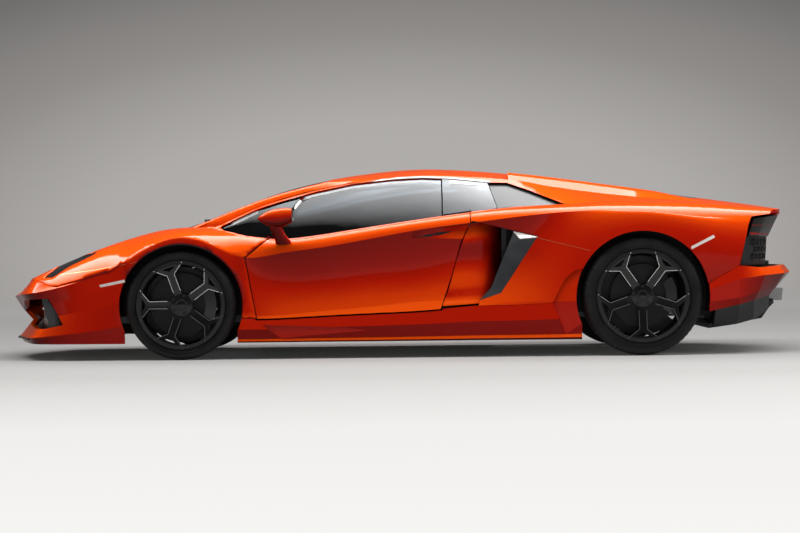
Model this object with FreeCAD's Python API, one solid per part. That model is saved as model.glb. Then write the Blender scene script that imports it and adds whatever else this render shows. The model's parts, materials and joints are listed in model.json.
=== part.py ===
import FreeCAD, Part
import math
import os
from FreeCAD import Vector

# A two-seat mid-engined sports car with doors that swing up.
# Frame: nose towards -X, tail towards +X, +Z up, ground at Z = 0, Y = 0 in the middle.
# The car's left side is at -Y. Body lines are drawn for +Y and mirrored.
# Units are millimetres.

# Overall size and running gear
FRONT_AXLE_X = -1283.0
WHEELBASE = 2700.0
REAR_AXLE_X = FRONT_AXLE_X + WHEELBASE
FRONT_TRACK = 1720.0
REAR_TRACK = 1690.0
FRONT_TYRE_RADIUS = 322.0
REAR_TYRE_RADIUS = 348.0
FRONT_TYRE_WIDTH = 255.0
REAR_TYRE_WIDTH = 330.0
FRONT_RIM_RADIUS = 259.0
REAR_RIM_RADIUS = 271.0
FRONT_ARCH_RADIUS = 361.0
REAR_ARCH_RADIUS = 390.0
ARCH_DROP = 10.0
ARCH_FOOT = 31.0
LINER_GROWTH = 19.0
LINER_THICKNESS = 4.0
LINER_WINDOW_RADIUS = 236.0
LINER_FOOT_Z = 250.0
GROUND_CLEARANCE = 96.0

# Panels
PANEL_THICKNESS = 34.0
ROOF_THICKNESS = 40.0
DOOR_THICKNESS = 88.0
LID_THICKNESS = 22.0
COVER_THICKNESS = 24.0
GLASS_THICKNESS = 5.0
SHUT_GAP = 6.0
SILL_GAP = 10.0
FIT_GAP = 0.3

# Doors: the hinge lies at the front end of the belt line and leans outwards
DOOR_HINGE = Vector(-775.0, 818.0, 700.0)
DOOR_HINGE_AXIS = Vector(0.1558, 0.9839, -0.0872)
DOOR_PIN_RADIUS = 8.0
DOOR_LUG_RADIUS = 20.0
WINDOW_TOP_GAP = 12.0
# Lids: hinge pins inside the edge that stays down, with room for the edge to turn
LID_PIN = (-1343.0, 752.0)
COVER_PIN = (690.0, 1083.0)
PIN_RADIUS = 5.0
EAR_RADIUS = 9.0
HINGE_EDGE_GAP = 18.0
SAIL_RECESS = 13.0

# Steering and suspension
KINGPIN_INSET = 52.0
KINGPIN_Y = FRONT_TRACK / 2 - KINGPIN_INSET
KINGPIN_RADIUS = 12.0
BALL_JOINT_HEIGHT = 108.0
ARM_THICKNESS = 18.0
RUNNING_GAP = 0.5

SIDES = {"left": -1.0, "right": 1.0}


# Small helpers

def mirrored(shape):
    """The same shape on the other side of the car."""
    return shape.mirror(Vector(0, 0, 0), Vector(0, 1, 0))


def on_side(shape, side):
    """A shape drawn for +Y, placed on the named side."""
    return mirrored(shape) if side == "left" else shape.copy()


def both_sides(shape):
    """The shape and its mirror image as one compound."""
    return Part.Compound([shape, mirrored(shape)])


def joined(first, *others):
    """One solid from several that overlap."""
    return first.multiFuse(list(others)).removeSplitter()


def box(x0, x1, y0, y1, z0, z1):
    """A block between two corners."""
    return Part.makeBox(x1 - x0, y1 - y0, z1 - z0, Vector(x0, y0, z0))


def cylinder_y(x, z, radius, y0, y1):
    """A round bar along Y."""
    return Part.makeCylinder(radius, y1 - y0, Vector(x, y0, z), Vector(0, 1, 0))


def cylinder_z(x, y, radius, z0, z1):
    """A round bar along Z."""
    return Part.makeCylinder(radius, z1 - z0, Vector(x, y, z0), Vector(0, 0, 1))


def prism_y(outline, y0, y1):
    """Side-view outline (x, z) pushed through from y0 to y1."""
    points = [Vector(x, y0, z) for x, z in outline]
    face = Part.Face(Part.makePolygon(points + [points[0]]))
    return face.extrude(Vector(0, y1 - y0, 0))


def prism_z(outline, z0, z1):
    """Plan-view outline (x, y) pushed up from z0 to z1."""
    points = [Vector(x, y, z0) for x, y in outline]
    face = Part.Face(Part.makePolygon(points + [points[0]]))
    return face.extrude(Vector(0, 0, z1 - z0))


def prism_x(outline, x0, x1):
    """Front-view outline (y, z) pushed through from x0 to x1."""
    points = [Vector(x0, y, z) for y, z in outline]
    face = Part.Face(Part.makePolygon(points + [points[0]]))
    return face.extrude(Vector(x1 - x0, 0, 0))


def wedge(x0, section0, x1, section1):
    """Straight-sided solid between two (y, z) outlines at two places along the car."""
    wires = []
    for x, section in ((x0, section0), (x1, section1)):
        points = [Vector(x, y, z) for y, z in section]
        wires.append(Part.makePolygon(points + [points[0]]))
    return Part.makeLoft(wires, True, True)


def line_value(points, x):
    """Value at x of the smooth line through the (x, value) points."""
    last = len(points) - 1
    i = 0
    while i < last - 1 and x > points[i + 1][0]:
        i += 1

    def slope(k):
        low = max(k - 1, 0)
        high = min(k + 1, last)
        return (points[high][1] - points[low][1]) / (points[high][0] - points[low][0])

    x0, v0 = points[i]
    x1, v1 = points[i + 1]
    span = x1 - x0
    t = (x - x0) / span
    m0 = slope(i) * span
    m1 = slope(i + 1) * span
    blend = (2 * t ** 3 - 3 * t ** 2 + 1) * v0 + (t ** 3 - 2 * t ** 2 + t) * m0
    return blend + (3 * t ** 2 - 2 * t ** 3) * v1 + (t ** 3 - t ** 2) * m1


# Body lines, each as (x, y, z) from nose to tail on the +Y side.

CENTRE_LINE = [
    (-2391, 0, 371), (-2250, 0, 445), (-2050, 0, 522), (-1800, 0, 604), (-1550, 0, 684),
    (-1350, 0, 748), (-1190, 0, 821), (-1033, 0, 890), (-724, 0, 1004), (-415, 0, 1076),
    (-102, 0, 1116), (206, 0, 1130), (627, 0, 1101), (1095, 0, 1044), (1562, 0, 977),
    (2107, 0, 890), (2330, 0, 842)]
# Bonnet crease, windscreen pillar, roof rail, buttress ridge
RAIL_LINE = [
    (-2391, 230, 366), (-2200, 400, 455), (-2000, 490, 532), (-1800, 560, 607),
    (-1600, 600, 677), (-1400, 632, 735), (-1200, 692, 776), (-1065, 752, 788),
    (-900, 708, 864), (-700, 640, 938), (-450, 596, 1002), (-150, 568, 1054),
    (150, 560, 1076), (450, 560, 1064), (700, 552, 1042), (950, 540, 1006),
    (1200, 530, 968), (1450, 530, 936), (1700, 540, 909), (1950, 570, 882), (2330, 640, 838)]
# Front wing crown, belt line, rear wing crown
BELT_LINE = [
    (-2391, 640, 398), (-2200, 682, 480), (-2000, 702, 570), (-1800, 714, 648),
    (-1600, 723, 714), (-1400, 730, 764), (-1200, 745, 778), (-1065, 785, 762),
    (-900, 830, 722), (-700, 855, 703), (-450, 852, 727), (-150, 845, 772),
    (150, 832, 815), (450, 812, 856), (700, 795, 880), (950, 787, 891), (1200, 790, 903),
    (1450, 798, 905), (1700, 795, 897), (1950, 772, 876), (2330, 692, 838)]
# Shoulder crease along the flank
SHOULDER_LINE = [
    (-2391, 850, 350), (-2200, 880, 395), (-2058, 902, 422), (-1876, 932, 468),
    (-1697, 958, 520), (-1550, 976, 612), (-1400, 985, 692), (-1283, 987, 714),
    (-1160, 984, 698), (-1030, 970, 644), (-900, 950, 596), (-700, 940, 618),
    (-450, 932, 652), (-150, 924, 702), (150, 917, 753), (450, 916, 789), (700, 922, 819),
    (950, 938, 842), (1200, 964, 850), (1450, 978, 840), (1700, 962, 814), (1950, 912, 796),
    (2150, 840, 800), (2330, 750, 816)]
# Hollow of the doors, widest line of the rear wings
WAIST_LINE = [
    (-2391, 880, 300), (-2000, 915, 372), (-1697, 962, 430), (-1550, 982, 500),
    (-1400, 992, 590), (-1283, 994, 620), (-1160, 991, 600), (-1030, 975, 530),
    (-900, 948, 470), (-700, 915, 440), (-450, 902, 450), (-150, 892, 480), (150, 884, 510),
    (450, 888, 540), (700, 908, 580), (950, 955, 640), (1200, 1002, 704), (1450, 1014, 728),
    (1700, 1000, 700), (1950, 950, 650), (2330, 820, 640)]
# Lower crease of the doors and of the flank
HEM_LINE = [
    (-2391, 880, 200), (-2000, 915, 220), (-1697, 962, 240), (-1400, 985, 260),
    (-1160, 982, 250), (-900, 964, 238), (-700, 960, 240), (-450, 960, 252),
    (-150, 962, 264), (150, 964, 277), (450, 968, 300), (700, 975, 305), (950, 988, 320),
    (1200, 1004, 335), (1450, 1008, 340), (1700, 990, 340), (1950, 935, 330), (2330, 800, 330)]

# Height of the ledge above the lower crease, and how far it lies inside it, as (x, rise, inset)
LEDGE_RISE = [
    (-2391, 14, 3), (-960, 14, 3), (-800, 16, 10), (-600, 20, 18), (-450, 26, 24), (-150, 38, 34),
    (150, 52, 44), (280, 56, 46), (400, 36, 28), (500, 16, 5), (700, 14, 3), (2330, 14, 2)]


def ledge_line():
    """Upper edge of the ledge that runs along the foot of the doors."""
    rise = [(x, up) for x, up, inset in LEDGE_RISE]
    inside = [(x, inset) for x, up, inset in LEDGE_RISE]
    return [(x, y - line_value(inside, x), z + line_value(rise, x)) for x, y, z in HEM_LINE]


STATIONS = [-2391, -2200, -2000, -1850, -1700, -1560, -1420, -1283, -1160, -1065, -900, -700,
            -450, -150, 150, 450, 700, 950, 1200, 1450, 1700, 1950, 2130, 2330]

# Which way each line moves inwards, for one unit of panel thickness
INWARDS = {
    "centre": Vector(0, 0, -1),
    "rail": Vector(0, 0, -1),
    "belt": Vector(0, -0.75, -0.75),
    "shoulder": Vector(0, -1, -0.2),
    "waist": Vector(0, -1, 0),
    "ledge": Vector(0, -1, 0),
    "hem": Vector(0, -1, 0),
}
LINES = {
    "centre": CENTRE_LINE,
    "rail": RAIL_LINE,
    "belt": BELT_LINE,
    "shoulder": SHOULDER_LINE,
    "waist": WAIST_LINE,
    "ledge": ledge_line(),
    "hem": HEM_LINE,
}
# What shapes the skin between a line and the next: a shift of its middle, or a line it runs through
CROWNS = {
    ("centre", "rail"): Vector(0, 0, 30),
    ("rail", "belt"): Vector(0, 8, 8),
    ("belt", "shoulder"): Vector(0, 26, 24),
    ("shoulder", "ledge"): "waist",
    ("ledge", "hem"): Vector(0, 0, 0),
}


def line_points(name, shift=Vector(0, 0, 0)):
    """The named body line at every station, moved by a shift."""
    width = [(x, y) for x, y, z in LINES[name]]
    height = [(x, z) for x, y, z in LINES[name]]
    points = [Vector(x, line_value(width, x), line_value(height, x)) for x in STATIONS]
    return [p + shift for p in points]


def line_at(name, x):
    """(y, z) of a body line at one x."""
    width = [(px, py) for px, py, pz in LINES[name]]
    height = [(px, pz) for px, py, pz in LINES[name]]
    return line_value(width, x), line_value(height, x)


def spline(points):
    """Curve through points that are evenly spread over its parameter."""
    curve = Part.BSplineCurve()
    last = len(points) - 1
    curve.interpolate(Points=points, Parameters=[i / last for i in range(last + 1)])
    return curve


def strip(first, second, middle=None):
    """Surface between two curves; middle is a shift of its middle row, or points it runs through."""
    pairs = list(zip(first.getPoles(), second.getPoles()))
    if middle is None:
        poles = [[a, b] for a, b in pairs]
    elif isinstance(middle, Vector):
        poles = [[a, (a + b) * 0.5 + middle, b] for a, b in pairs]
    else:
        through = spline(middle).getPoles()
        poles = [[a, m * 2 - (a + b) * 0.5, b] for (a, b), m in zip(pairs, through)]
    degree = len(poles[0]) - 1
    surface = Part.BSplineSurface()
    surface.buildFromPolesMultsKnots(
        poles, first.getMultiplicities(), [degree + 1, degree + 1],
        first.getKnots(), [0.0, 1.0], False, False, first.Degree, degree)
    return surface


def wall(outer_rows, inner_rows, crowns):
    """Closed solid between outer rows and inner rows; a crown may be a pair of middle rows."""
    outer = [spline(row) for row in outer_rows]
    inner = [spline(row) for row in inner_rows]
    faces = []
    for i in range(len(outer) - 1):
        middles = crowns[i] if isinstance(crowns[i], tuple) else (crowns[i], None)
        outside = strip(outer[i], outer[i + 1], middles[0])
        inside = strip(inner[i], inner[i + 1], middles[1])
        faces.append(outside.toShape())
        faces.append(inside.toShape())
        for end in (0.0, 1.0):
            faces.append(Part.makeRuledSurface(outside.uIso(end).toShape(), inside.uIso(end).toShape()))
    for k in (0, -1):
        faces.append(strip(outer[k], inner[k]).toShape())
    skin = Part.Compound(faces)
    skin.sewShape()
    solid = Part.Solid(skin.Shells[0])
    if solid.Volume < 0:
        solid.reverse()
    return solid


def body_wall(names, thickness, depth=0.0, inwards=None):
    """Thick skin along body lines on the +Y side, its outer face sunk by depth."""
    ways = dict(INWARDS)
    if inwards:
        ways.update(inwards)
    outer = [line_points(n, ways[n] * depth) for n in names]
    inner = [line_points(n, ways[n] * (depth + thickness)) for n in names]
    crowns = []
    for pair in zip(names, names[1:]):
        crown = CROWNS[pair]
        if isinstance(crown, str):
            crown = tuple(line_points(crown, ways[crown] * d) for d in (depth, depth + thickness))
        crowns.append(crown)
    return wall(outer, inner, crowns)


def top_wall(thickness, depth=0.0):
    """Thick skin over the whole top, from rail to rail."""
    centre = line_points("centre", INWARDS["centre"] * depth)
    rail = line_points("rail", INWARDS["rail"] * depth)
    other = [Vector(p.x, -p.y, p.z) for p in rail]
    down = Vector(0, 0, -thickness)
    outer = [other, centre, rail]
    inner = [[p + down for p in row] for row in outer]
    crown = CROWNS[("centre", "rail")]
    return wall(outer, inner, [crown, crown])


def arch(x, axle_z, radius, foot=ARCH_FOOT, y1=1100.0):
    """Round cut for a wheel arch that draws in by foot before it opens downwards."""
    z = axle_z - ARCH_DROP
    half = radius - foot
    return joined(cylinder_y(x, z, radius, 400, y1), box(x - half, x + half, 400, y1, -50, z))


# Outlines seen from the side, as (x, z)

DOOR_FRONT = [(-775, 701), (-903, 592), (-872, 418), (-843, 268), (-836, 220)]
DOOR_REAR = [(213, 220), (300, 470), (358, 673), (413, 786), (413, 845)]
BELT_CUT_X = [-640, -450, -150, 150]
WINDOW_TOP = [
    (-1062, 779), (-842, 884), (-696, 930), (-502, 983), (-273, 1030), (-43, 1055),
    (140, 1062), (300, 1055), (545, 1030), (645, 1028), (779, 979), (978, 893)]
SAIL_TOP = (-560.0, 968.0)
B_POST_X = 254.0
WINDSCREEN_BASE = [(-1262, 0), (-1240, 250), (-1180, 500), (-1085, 690)]
WINDSCREEN_SIDE = [(-900, 670), (-700, 601), (-440, 552), (-420, 0)]
LID_REAR_X = -1345.0
PILLAR_FOOT_X = -1085.0
ROOF_REAR_X = 652.0
COVER_OUTLINE = [(672, 0), (672, 455), (1250, 440), (1800, 360), (1862, 0)]
TAIL_PANEL_X = 1875.0
TAIL_END_X = 2330.0
TAIL_PLAN = [(2331, 0), (2324, 300), (2290, 500), (2244, 692), (2190, 800)]
# Underside of the tail's edge, and how thick that edge is over the rear grille
VISOR = [(2068, 806), (2290, 837)]
VISOR_EDGE = 14.0
SIDE_INTAKE = DOOR_REAR[:4] + [
    (430, 797), (672, 737), (810, 704), (651, 462), (590, 373), (465, 331), (438, 220)]
# Where the scoop behind each door starts, from its top to its foot, and where it ends
SCOOP_START = [
    (420, 868, 784), (399, 873, 745), (375, 893, 690), (343, 886, 600), (309, 893, 480),
    (279, 920, 384), (247, 963, 300)]
SCOOP_END = (596, 690)
SCOOP_THICKNESS = 16.0
REAR_VENT = [(887, 311), (964, 456), (1022, 503), (1100, 512), (1100, 130), (960, 139)]
SILL_FACET = [(-809, 201), (-687, 114), (181, 117), (-325, 181)]
BLADE = [(672, 737), (810, 704), (651, 462), (590, 373), (465, 331), (533, 403)]
FASCIA = [(1804, 417), (1988, 522), (2047, 761), (2068, 806)]
# Depth of the sloping face above the nose's edge and of the painted strip behind it, both from
# that edge, and the lid's room to turn past the strip
NOSE_FACE = 60.0
NOSE_STRIP = 95.0
LID_NOSE_GAP = 13.0
NOSE_PLAN = [(-2391, 0), (-2375, 200), (-2350, 325), (-2312, 450), (-2236, 760), (-2130, 880),
             (-2058, 920)]


def grown(outline, margin):
    """The side outline with every edge moved out by a margin."""
    points = [Vector(x, z, 0) for x, z in outline]
    wire = Part.makePolygon(points + [points[0]])
    bigger = wire.makeOffset2D(margin, 2)
    return [(v.X, v.Y) for v in bigger.OrderedVertexes]


def belt_heights(xs, drop=0.0):
    """Side-view points along the belt line."""
    return [(x, line_at("belt", x)[1] - drop) for x in xs]


def mirrored_plan(half):
    """Closed plan outline from its half with y of zero or more."""
    other = [(x, -y) for x, y in reversed(half) if y > 0]
    return half + other


def door_outline():
    """Side outline of the door below the belt line."""
    return DOOR_FRONT + DOOR_REAR + list(reversed(belt_heights(BELT_CUT_X)))


def nose_cutter(margin=0.0):
    """Everything ahead of the plan line of the nose."""
    edge = [(x + margin, y) for x, y in NOSE_PLAN]
    half = edge + [(-1990, 1200), (-2600, 1200)]
    return prism_z(mirrored_plan(half), 0, 1200)


def tail_cutter():
    """Everything behind the plan line of the tail."""
    return prism_z(mirrored_plan(TAIL_PLAN + [(2190, 1200), (2600, 1200)]), 600, 1200)


def visor_z(x):
    """Height of the underside of the tail's edge."""
    (x0, z0), (x1, z1) = VISOR
    return z0 + (x - x0) * (z1 - z0) / (x1 - x0)


def rear_vent_cut():
    """Recess ahead of a rear wheel, deep at its front edge and flush at the arch."""
    deep = [(962, 100), (962, 320), (926, 520), (1100, 520), (1100, 100)]
    flush = [(1001, 100), (1001, 320), (976, 520), (1100, 520), (1100, 100)]
    return wedge(880, deep, 1100, flush).common(prism_y(REAR_VENT, 800, 1100))


def window_outline(drop=0.0):
    """Side outline of all that lies between the belt line and the roof rail."""
    sill = belt_heights([-1040, -900, -775, -640, -450, -150, 150, 352, 450, 700, 960], drop)
    return WINDOW_TOP + list(reversed(sill))


def flank_shell():
    """The whole +Y flank with its door opening, arches, intake and ends cut."""
    shell = body_wall(["rail", "belt", "shoulder", "ledge", "hem"], PANEL_THICKNESS)
    door = prism_y(grown(door_outline(), SHUT_GAP), 300, 1100)
    belt_slot = prism_y([(-775, 660), (-775, 712)] + belt_heights([-640, -150, 352], -SHUT_GAP)
                        + [(413 + SHUT_GAP, 860), (413 + SHUT_GAP, 786)], 300, 1100)
    below_door = prism_y([(-846, 0), (-846, 300), (438, 330), (438, 0)], 300, 1100)
    front_lines = (-2391, -2200, -2058, -1876, -1697, -1600)
    shoulder = [(x, line_at("shoulder", x)[1]) for x in front_lines]
    bumper_zone = prism_y([(-2500, 0), (-2500, shoulder[0][1])] + shoulder + [(-1600, 0)], 0, 1200)
    tail_zone = prism_y(FASCIA + [(2400, visor_z(2400)), (2400, 0), (1790, 0), (1790, 417)], 0, 1200)
    cuts = [
        prism_y(window_outline(), 300, 1100), door, belt_slot, below_door,
        prism_y(SIDE_INTAKE, 700, 1100), bumper_zone, tail_zone,
        nose_cutter(NOSE_FACE + 3), tail_cutter(), rear_vent_cut(),
        arch(FRONT_AXLE_X, FRONT_TYRE_RADIUS, FRONT_ARCH_RADIUS),
        arch(REAR_AXLE_X, REAR_TYRE_RADIUS, REAR_ARCH_RADIUS)]
    return shell.cut(Part.Compound(cuts))


NODES = {}


def keep(name, shape):
    """Check a finished piece and store it under its node name."""
    sound = not shape.isNull() and shape.Solids and all(s.isValid() for s in shape.Solids)
    if not sound:
        print("PROBLEM in", name)
    bounds = shape.BoundBox
    print("%-16s solids %d  x %5.0f %5.0f  y %5.0f %5.0f  z %5.0f %5.0f" % (
        name, len(shape.Solids), bounds.XMin, bounds.XMax, bounds.YMin, bounds.YMax,
        bounds.ZMin, bounds.ZMax))
    NODES[name] = Part.Compound(shape.Solids) if len(shape.Solids) > 1 else shape.Solids[0]


# Painted body

def build_flanks():
    """Front wings and rear wings."""
    shell = flank_shell()
    wing = shell.common(box(-2500, PILLAR_FOOT_X, 0, 1200, 0, 1200))
    below_belt = prism_y([(PILLAR_FOOT_X, 0), (PILLAR_FOOT_X, 776)]
                         + belt_heights([-1040, -900, -775], -2) + [(-700, 0)], 300, 1200)
    wing_rear = shell.common(below_belt)
    front = joined(wing, wing_rear)
    lamp_cut = headlamp_prism(0.5)
    front = front.cut(lamp_cut)
    front = front.cut(both_marker_prisms(0.3)).cut(door_hinge_bar(DOOR_LUG_RADIUS + SHUT_GAP, -90, -12))
    rear = shell.cut(box(-2500, PILLAR_FOOT_X, 0, 1200, 0, 1200)).cut(below_belt)
    rear = rear.cut(both_marker_prisms(0.3))
    keep("front_wings", both_sides(front))
    keep("rear_wings", both_sides(rear))


def headlamp_prism(margin):
    """Side-view slot of the slim headlamp."""
    outline = [(-2104, 487), (-2011, 573), (-1878, 617), (-1795, 642), (-1818, 620), (-1952, 556), (-2048, 491)]
    return prism_y(grown(outline, margin), 650, 1200)


def marker_outline(front):
    if front:
        return [(-1752, 430), (-1760, 444), (-1610, 474), (-1606, 458)]
    return [(1700, 616), (1696, 632), (1832, 700), (1840, 684)]


def both_marker_prisms(margin):
    parts = [prism_y(grown(marker_outline(f), margin), 700, 1200) for f in (True, False)]
    return Part.Compound(parts)


def hinged(mover, carrier, pin, y, way):
    """Hinge at y: ears and pin on the carrier, a lug on the mover, which lies on the way side."""
    x, z = pin
    bar = cylinder_y(x, z, PIN_RADIUS, y - 20, y + 20)
    ears = []
    for low in (y - 20, y + 14):
        arm = sorted((x, x - way * 35))
        ears.append(cylinder_y(x, z, EAR_RADIUS, low, low + 6))
        ears.append(box(arm[0], arm[1], low, low + 6, z - 8, z + 8))
    room = sorted((x - way * 20, x + way * 19))
    notch = box(room[0], room[1], y - 26, y + 26, z - 40, z + 60)
    arm = sorted((x, x + way * 30))
    lug = joined(cylinder_y(x, z, EAR_RADIUS, y - 8, y + 8), box(arm[0], arm[1], y - 8, y + 8, z - 7, z + 7))
    mover = joined(mover.cut(notch), lug).cut(cylinder_y(x, z, PIN_RADIUS + RUNNING_GAP, y - 9, y + 9))
    return mover, joined(carrier, bar, *ears)


def build_top():
    """Bonnet lid, cowl, roof, windscreen, rear deck, engine cover and tail panel."""
    top = top_wall(PANEL_THICKNESS)
    roof_skin = top_wall(ROOF_THICKNESS)
    rail_x = (-2390, -2345, -2300, -2200, -2000, -1800, -1600, -1400)
    rail = [(x, line_at("rail", x)[0] - SHUT_GAP) for x in rail_x]
    lid_half = [(-2400, 0), (-2400, rail[0][1])] + rail + [(LID_REAR_X, 632), (LID_REAR_X, 0)]
    lid = top_wall(LID_THICKNESS).common(prism_z(mirrored_plan(lid_half), 0, 1200))
    lid = lid.cut(nose_cutter(NOSE_STRIP + LID_NOSE_GAP))
    cowl_x = LID_REAR_X + HINGE_EDGE_GAP
    cowl_half = [(cowl_x, 0), (cowl_x, 800), (PILLAR_FOOT_X, 800)]
    cowl_half = cowl_half + list(reversed(WINDSCREEN_BASE))
    cowl = top.common(prism_z(mirrored_plan(cowl_half), 0, 1200))
    for y in (-300, 300):
        lid, cowl = hinged(lid, cowl, LID_PIN, y, -1)
    keep("front_lid", lid)
    keep("cowl", cowl)

    screen = mirrored_plan(WINDSCREEN_BASE + WINDSCREEN_SIDE)
    screen_cut = prism_z(screen, 500, 1300)
    roof = roof_skin.common(box(PILLAR_FOOT_X + FIT_GAP, ROOF_REAR_X, -800, 800, 500, 1300))
    keep("roof", roof.cut(screen_cut))
    glass = top_wall(GLASS_THICKNESS, 3.0)
    keep("windscreen", glass.common(prism_z(grown(screen, -FIT_GAP), 500, 1300)))

    rear = top.common(box(ROOF_REAR_X + FIT_GAP, TAIL_END_X, -800, 800, 500, 1300))
    edge = [(x, visor_z(x) - VISOR_EDGE) for x in (2080, 2400)]
    rear = rear.cut(tail_cutter()).cut(prism_y(edge + [(2400, 600), (2080, 600)], -800, 800))
    cover = mirrored_plan(COVER_OUTLINE)
    rear = rear.cut(prism_z(cover, 500, 1300))
    deck = rear.common(box(0, TAIL_PANEL_X, -800, 800, 500, 1300))
    keep("tail_panel", rear.common(box(TAIL_PANEL_X + FIT_GAP, TAIL_END_X, -800, 800, 500, 1300)))
    lid = top_wall(COVER_THICKNESS).common(prism_z(grown(cover, -SHUT_GAP), 500, 1300))
    lid = lid.cut(box(0, COVER_OUTLINE[0][0] + HINGE_EDGE_GAP, -800, 800, 500, 1300))
    slots = [box(x, x + 70, -300, 300, 500, 1300) for x in range(800, 1500, 140)]
    lid = lid.cut(Part.Compound(slots))
    for y in (-90, 90):
        lid, deck = hinged(lid, deck, COVER_PIN, y, 1)
    keep("rear_deck", deck)
    keep("engine_cover", lid)


FRONT_BUMPER_ROWS = [
    [(-2331, 0, 405), (-2252, 450, 441), (-2176, 760, 471), (-2066, 876, 445), (-1876, 926, 474),
     (-1590, 966, 592)],
    [(-2391, 0, 369), (-2312, 450, 383), (-2236, 760, 391), (-2110, 890, 408), (-1876, 932, 466),
     (-1590, 970, 584)],
    [(-2345, 0, 300), (-2270, 450, 306), (-2185, 740, 312), (-2078, 880, 330), (-1876, 936, 375),
     (-1590, 976, 452)],
    [(-2278, 0, 228), (-2210, 450, 232), (-2135, 735, 243), (-2055, 878, 255), (-1876, 940, 290),
     (-1590, 980, 340)],
    [(-2360, 0, 130), (-2284, 450, 130), (-2205, 760, 132), (-2115, 898, 140), (-1876, 950, 165),
     (-1590, 980, 208)],
    [(-2340, 0, 98), (-2266, 450, 98), (-2190, 745, 98), (-2100, 884, 98), (-1876, 940, 98),
     (-1590, 970, 98)]]
REAR_BUMPER_ROWS = [
    [(2352, 0, 520), (2338, 350, 520), (2262, 650, 515), (2125, 845, 506), (1985, 948, 519),
     (1803, 996, 415)],
    [(2391, 0, 478), (2374, 350, 476), (2298, 655, 470), (2148, 858, 460), (1985, 952, 440),
     (1803, 998, 380)],
    [(2318, 0, 400), (2304, 350, 396), (2238, 648, 385), (2110, 848, 360), (1985, 948, 330),
     (1803, 998, 310)],
    [(2268, 0, 350), (2258, 350, 348), (2205, 640, 338), (2085, 838, 312), (1985, 936, 292),
     (1803, 988, 254)]]
BUMPER_THICKNESS = 30.0


def faceted_wall(outer_rows, inner_rows):
    """Closed solid with a crease at every point of its rows."""
    def patch(a, b, c, d):
        surface = Part.BSplineSurface()
        surface.buildFromPolesMultsKnots([[a, b], [d, c]], [2, 2], [2, 2], [0, 1], [0, 1], False, False, 1, 1)
        return surface.toShape()

    faces = []
    last_row = len(outer_rows) - 1
    last = len(outer_rows[0]) - 1
    for rows in (outer_rows, inner_rows):
        for upper, lower in zip(rows, rows[1:]):
            for i in range(last):
                faces.append(patch(upper[i], upper[i + 1], lower[i + 1], lower[i]))
    for k in (0, last_row):
        out, back = outer_rows[k], inner_rows[k]
        faces += [patch(out[i], out[i + 1], back[i + 1], back[i]) for i in range(last)]
    for k in (0, last):
        for j in range(last_row):
            faces.append(patch(outer_rows[j][k], outer_rows[j + 1][k], inner_rows[j + 1][k], inner_rows[j][k]))
    skin = Part.Compound(faces)
    skin.sewShape()
    solid = Part.Solid(skin.Shells[0])
    if solid.Volume < 0:
        solid.reverse()
    return solid


def bumper(table, forward):
    """Full-width bumper skin from its +Y half rows, creased at the rear."""
    rows = []
    inner = []
    ways = [Vector(-forward, 0, 0), Vector(-forward, 0, 0), Vector(-forward * 0.9, -0.4, 0),
            Vector(-forward * 0.6, -0.8, 0), Vector(0, -1, 0), Vector(0, -1, 0)]
    for row in table:
        half = [Vector(*p) for p in row]
        back = [p + w * BUMPER_THICKNESS for p, w in zip(half, ways)]
        rows.append([Vector(p.x, -p.y, p.z) for p in reversed(half[1:])] + half)
        inner.append([Vector(p.x, -p.y, p.z) for p in reversed(back[1:])] + back)
    if forward > 0:
        return faceted_wall(rows, inner)
    return wall(rows, inner, [None] * (len(rows) - 1))


# Front intakes: their opening from ahead and its rear edge from the side
INTAKE_FACE = [(300, 205), (250, 285), (640, 352), (1100, 376), (1100, 180)]
INTAKE_SIDE = [(-2500, 150), (-2133, 180), (-1977, 211), (-2018, 288), (-2076, 380), (-2500, 380)]


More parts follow.
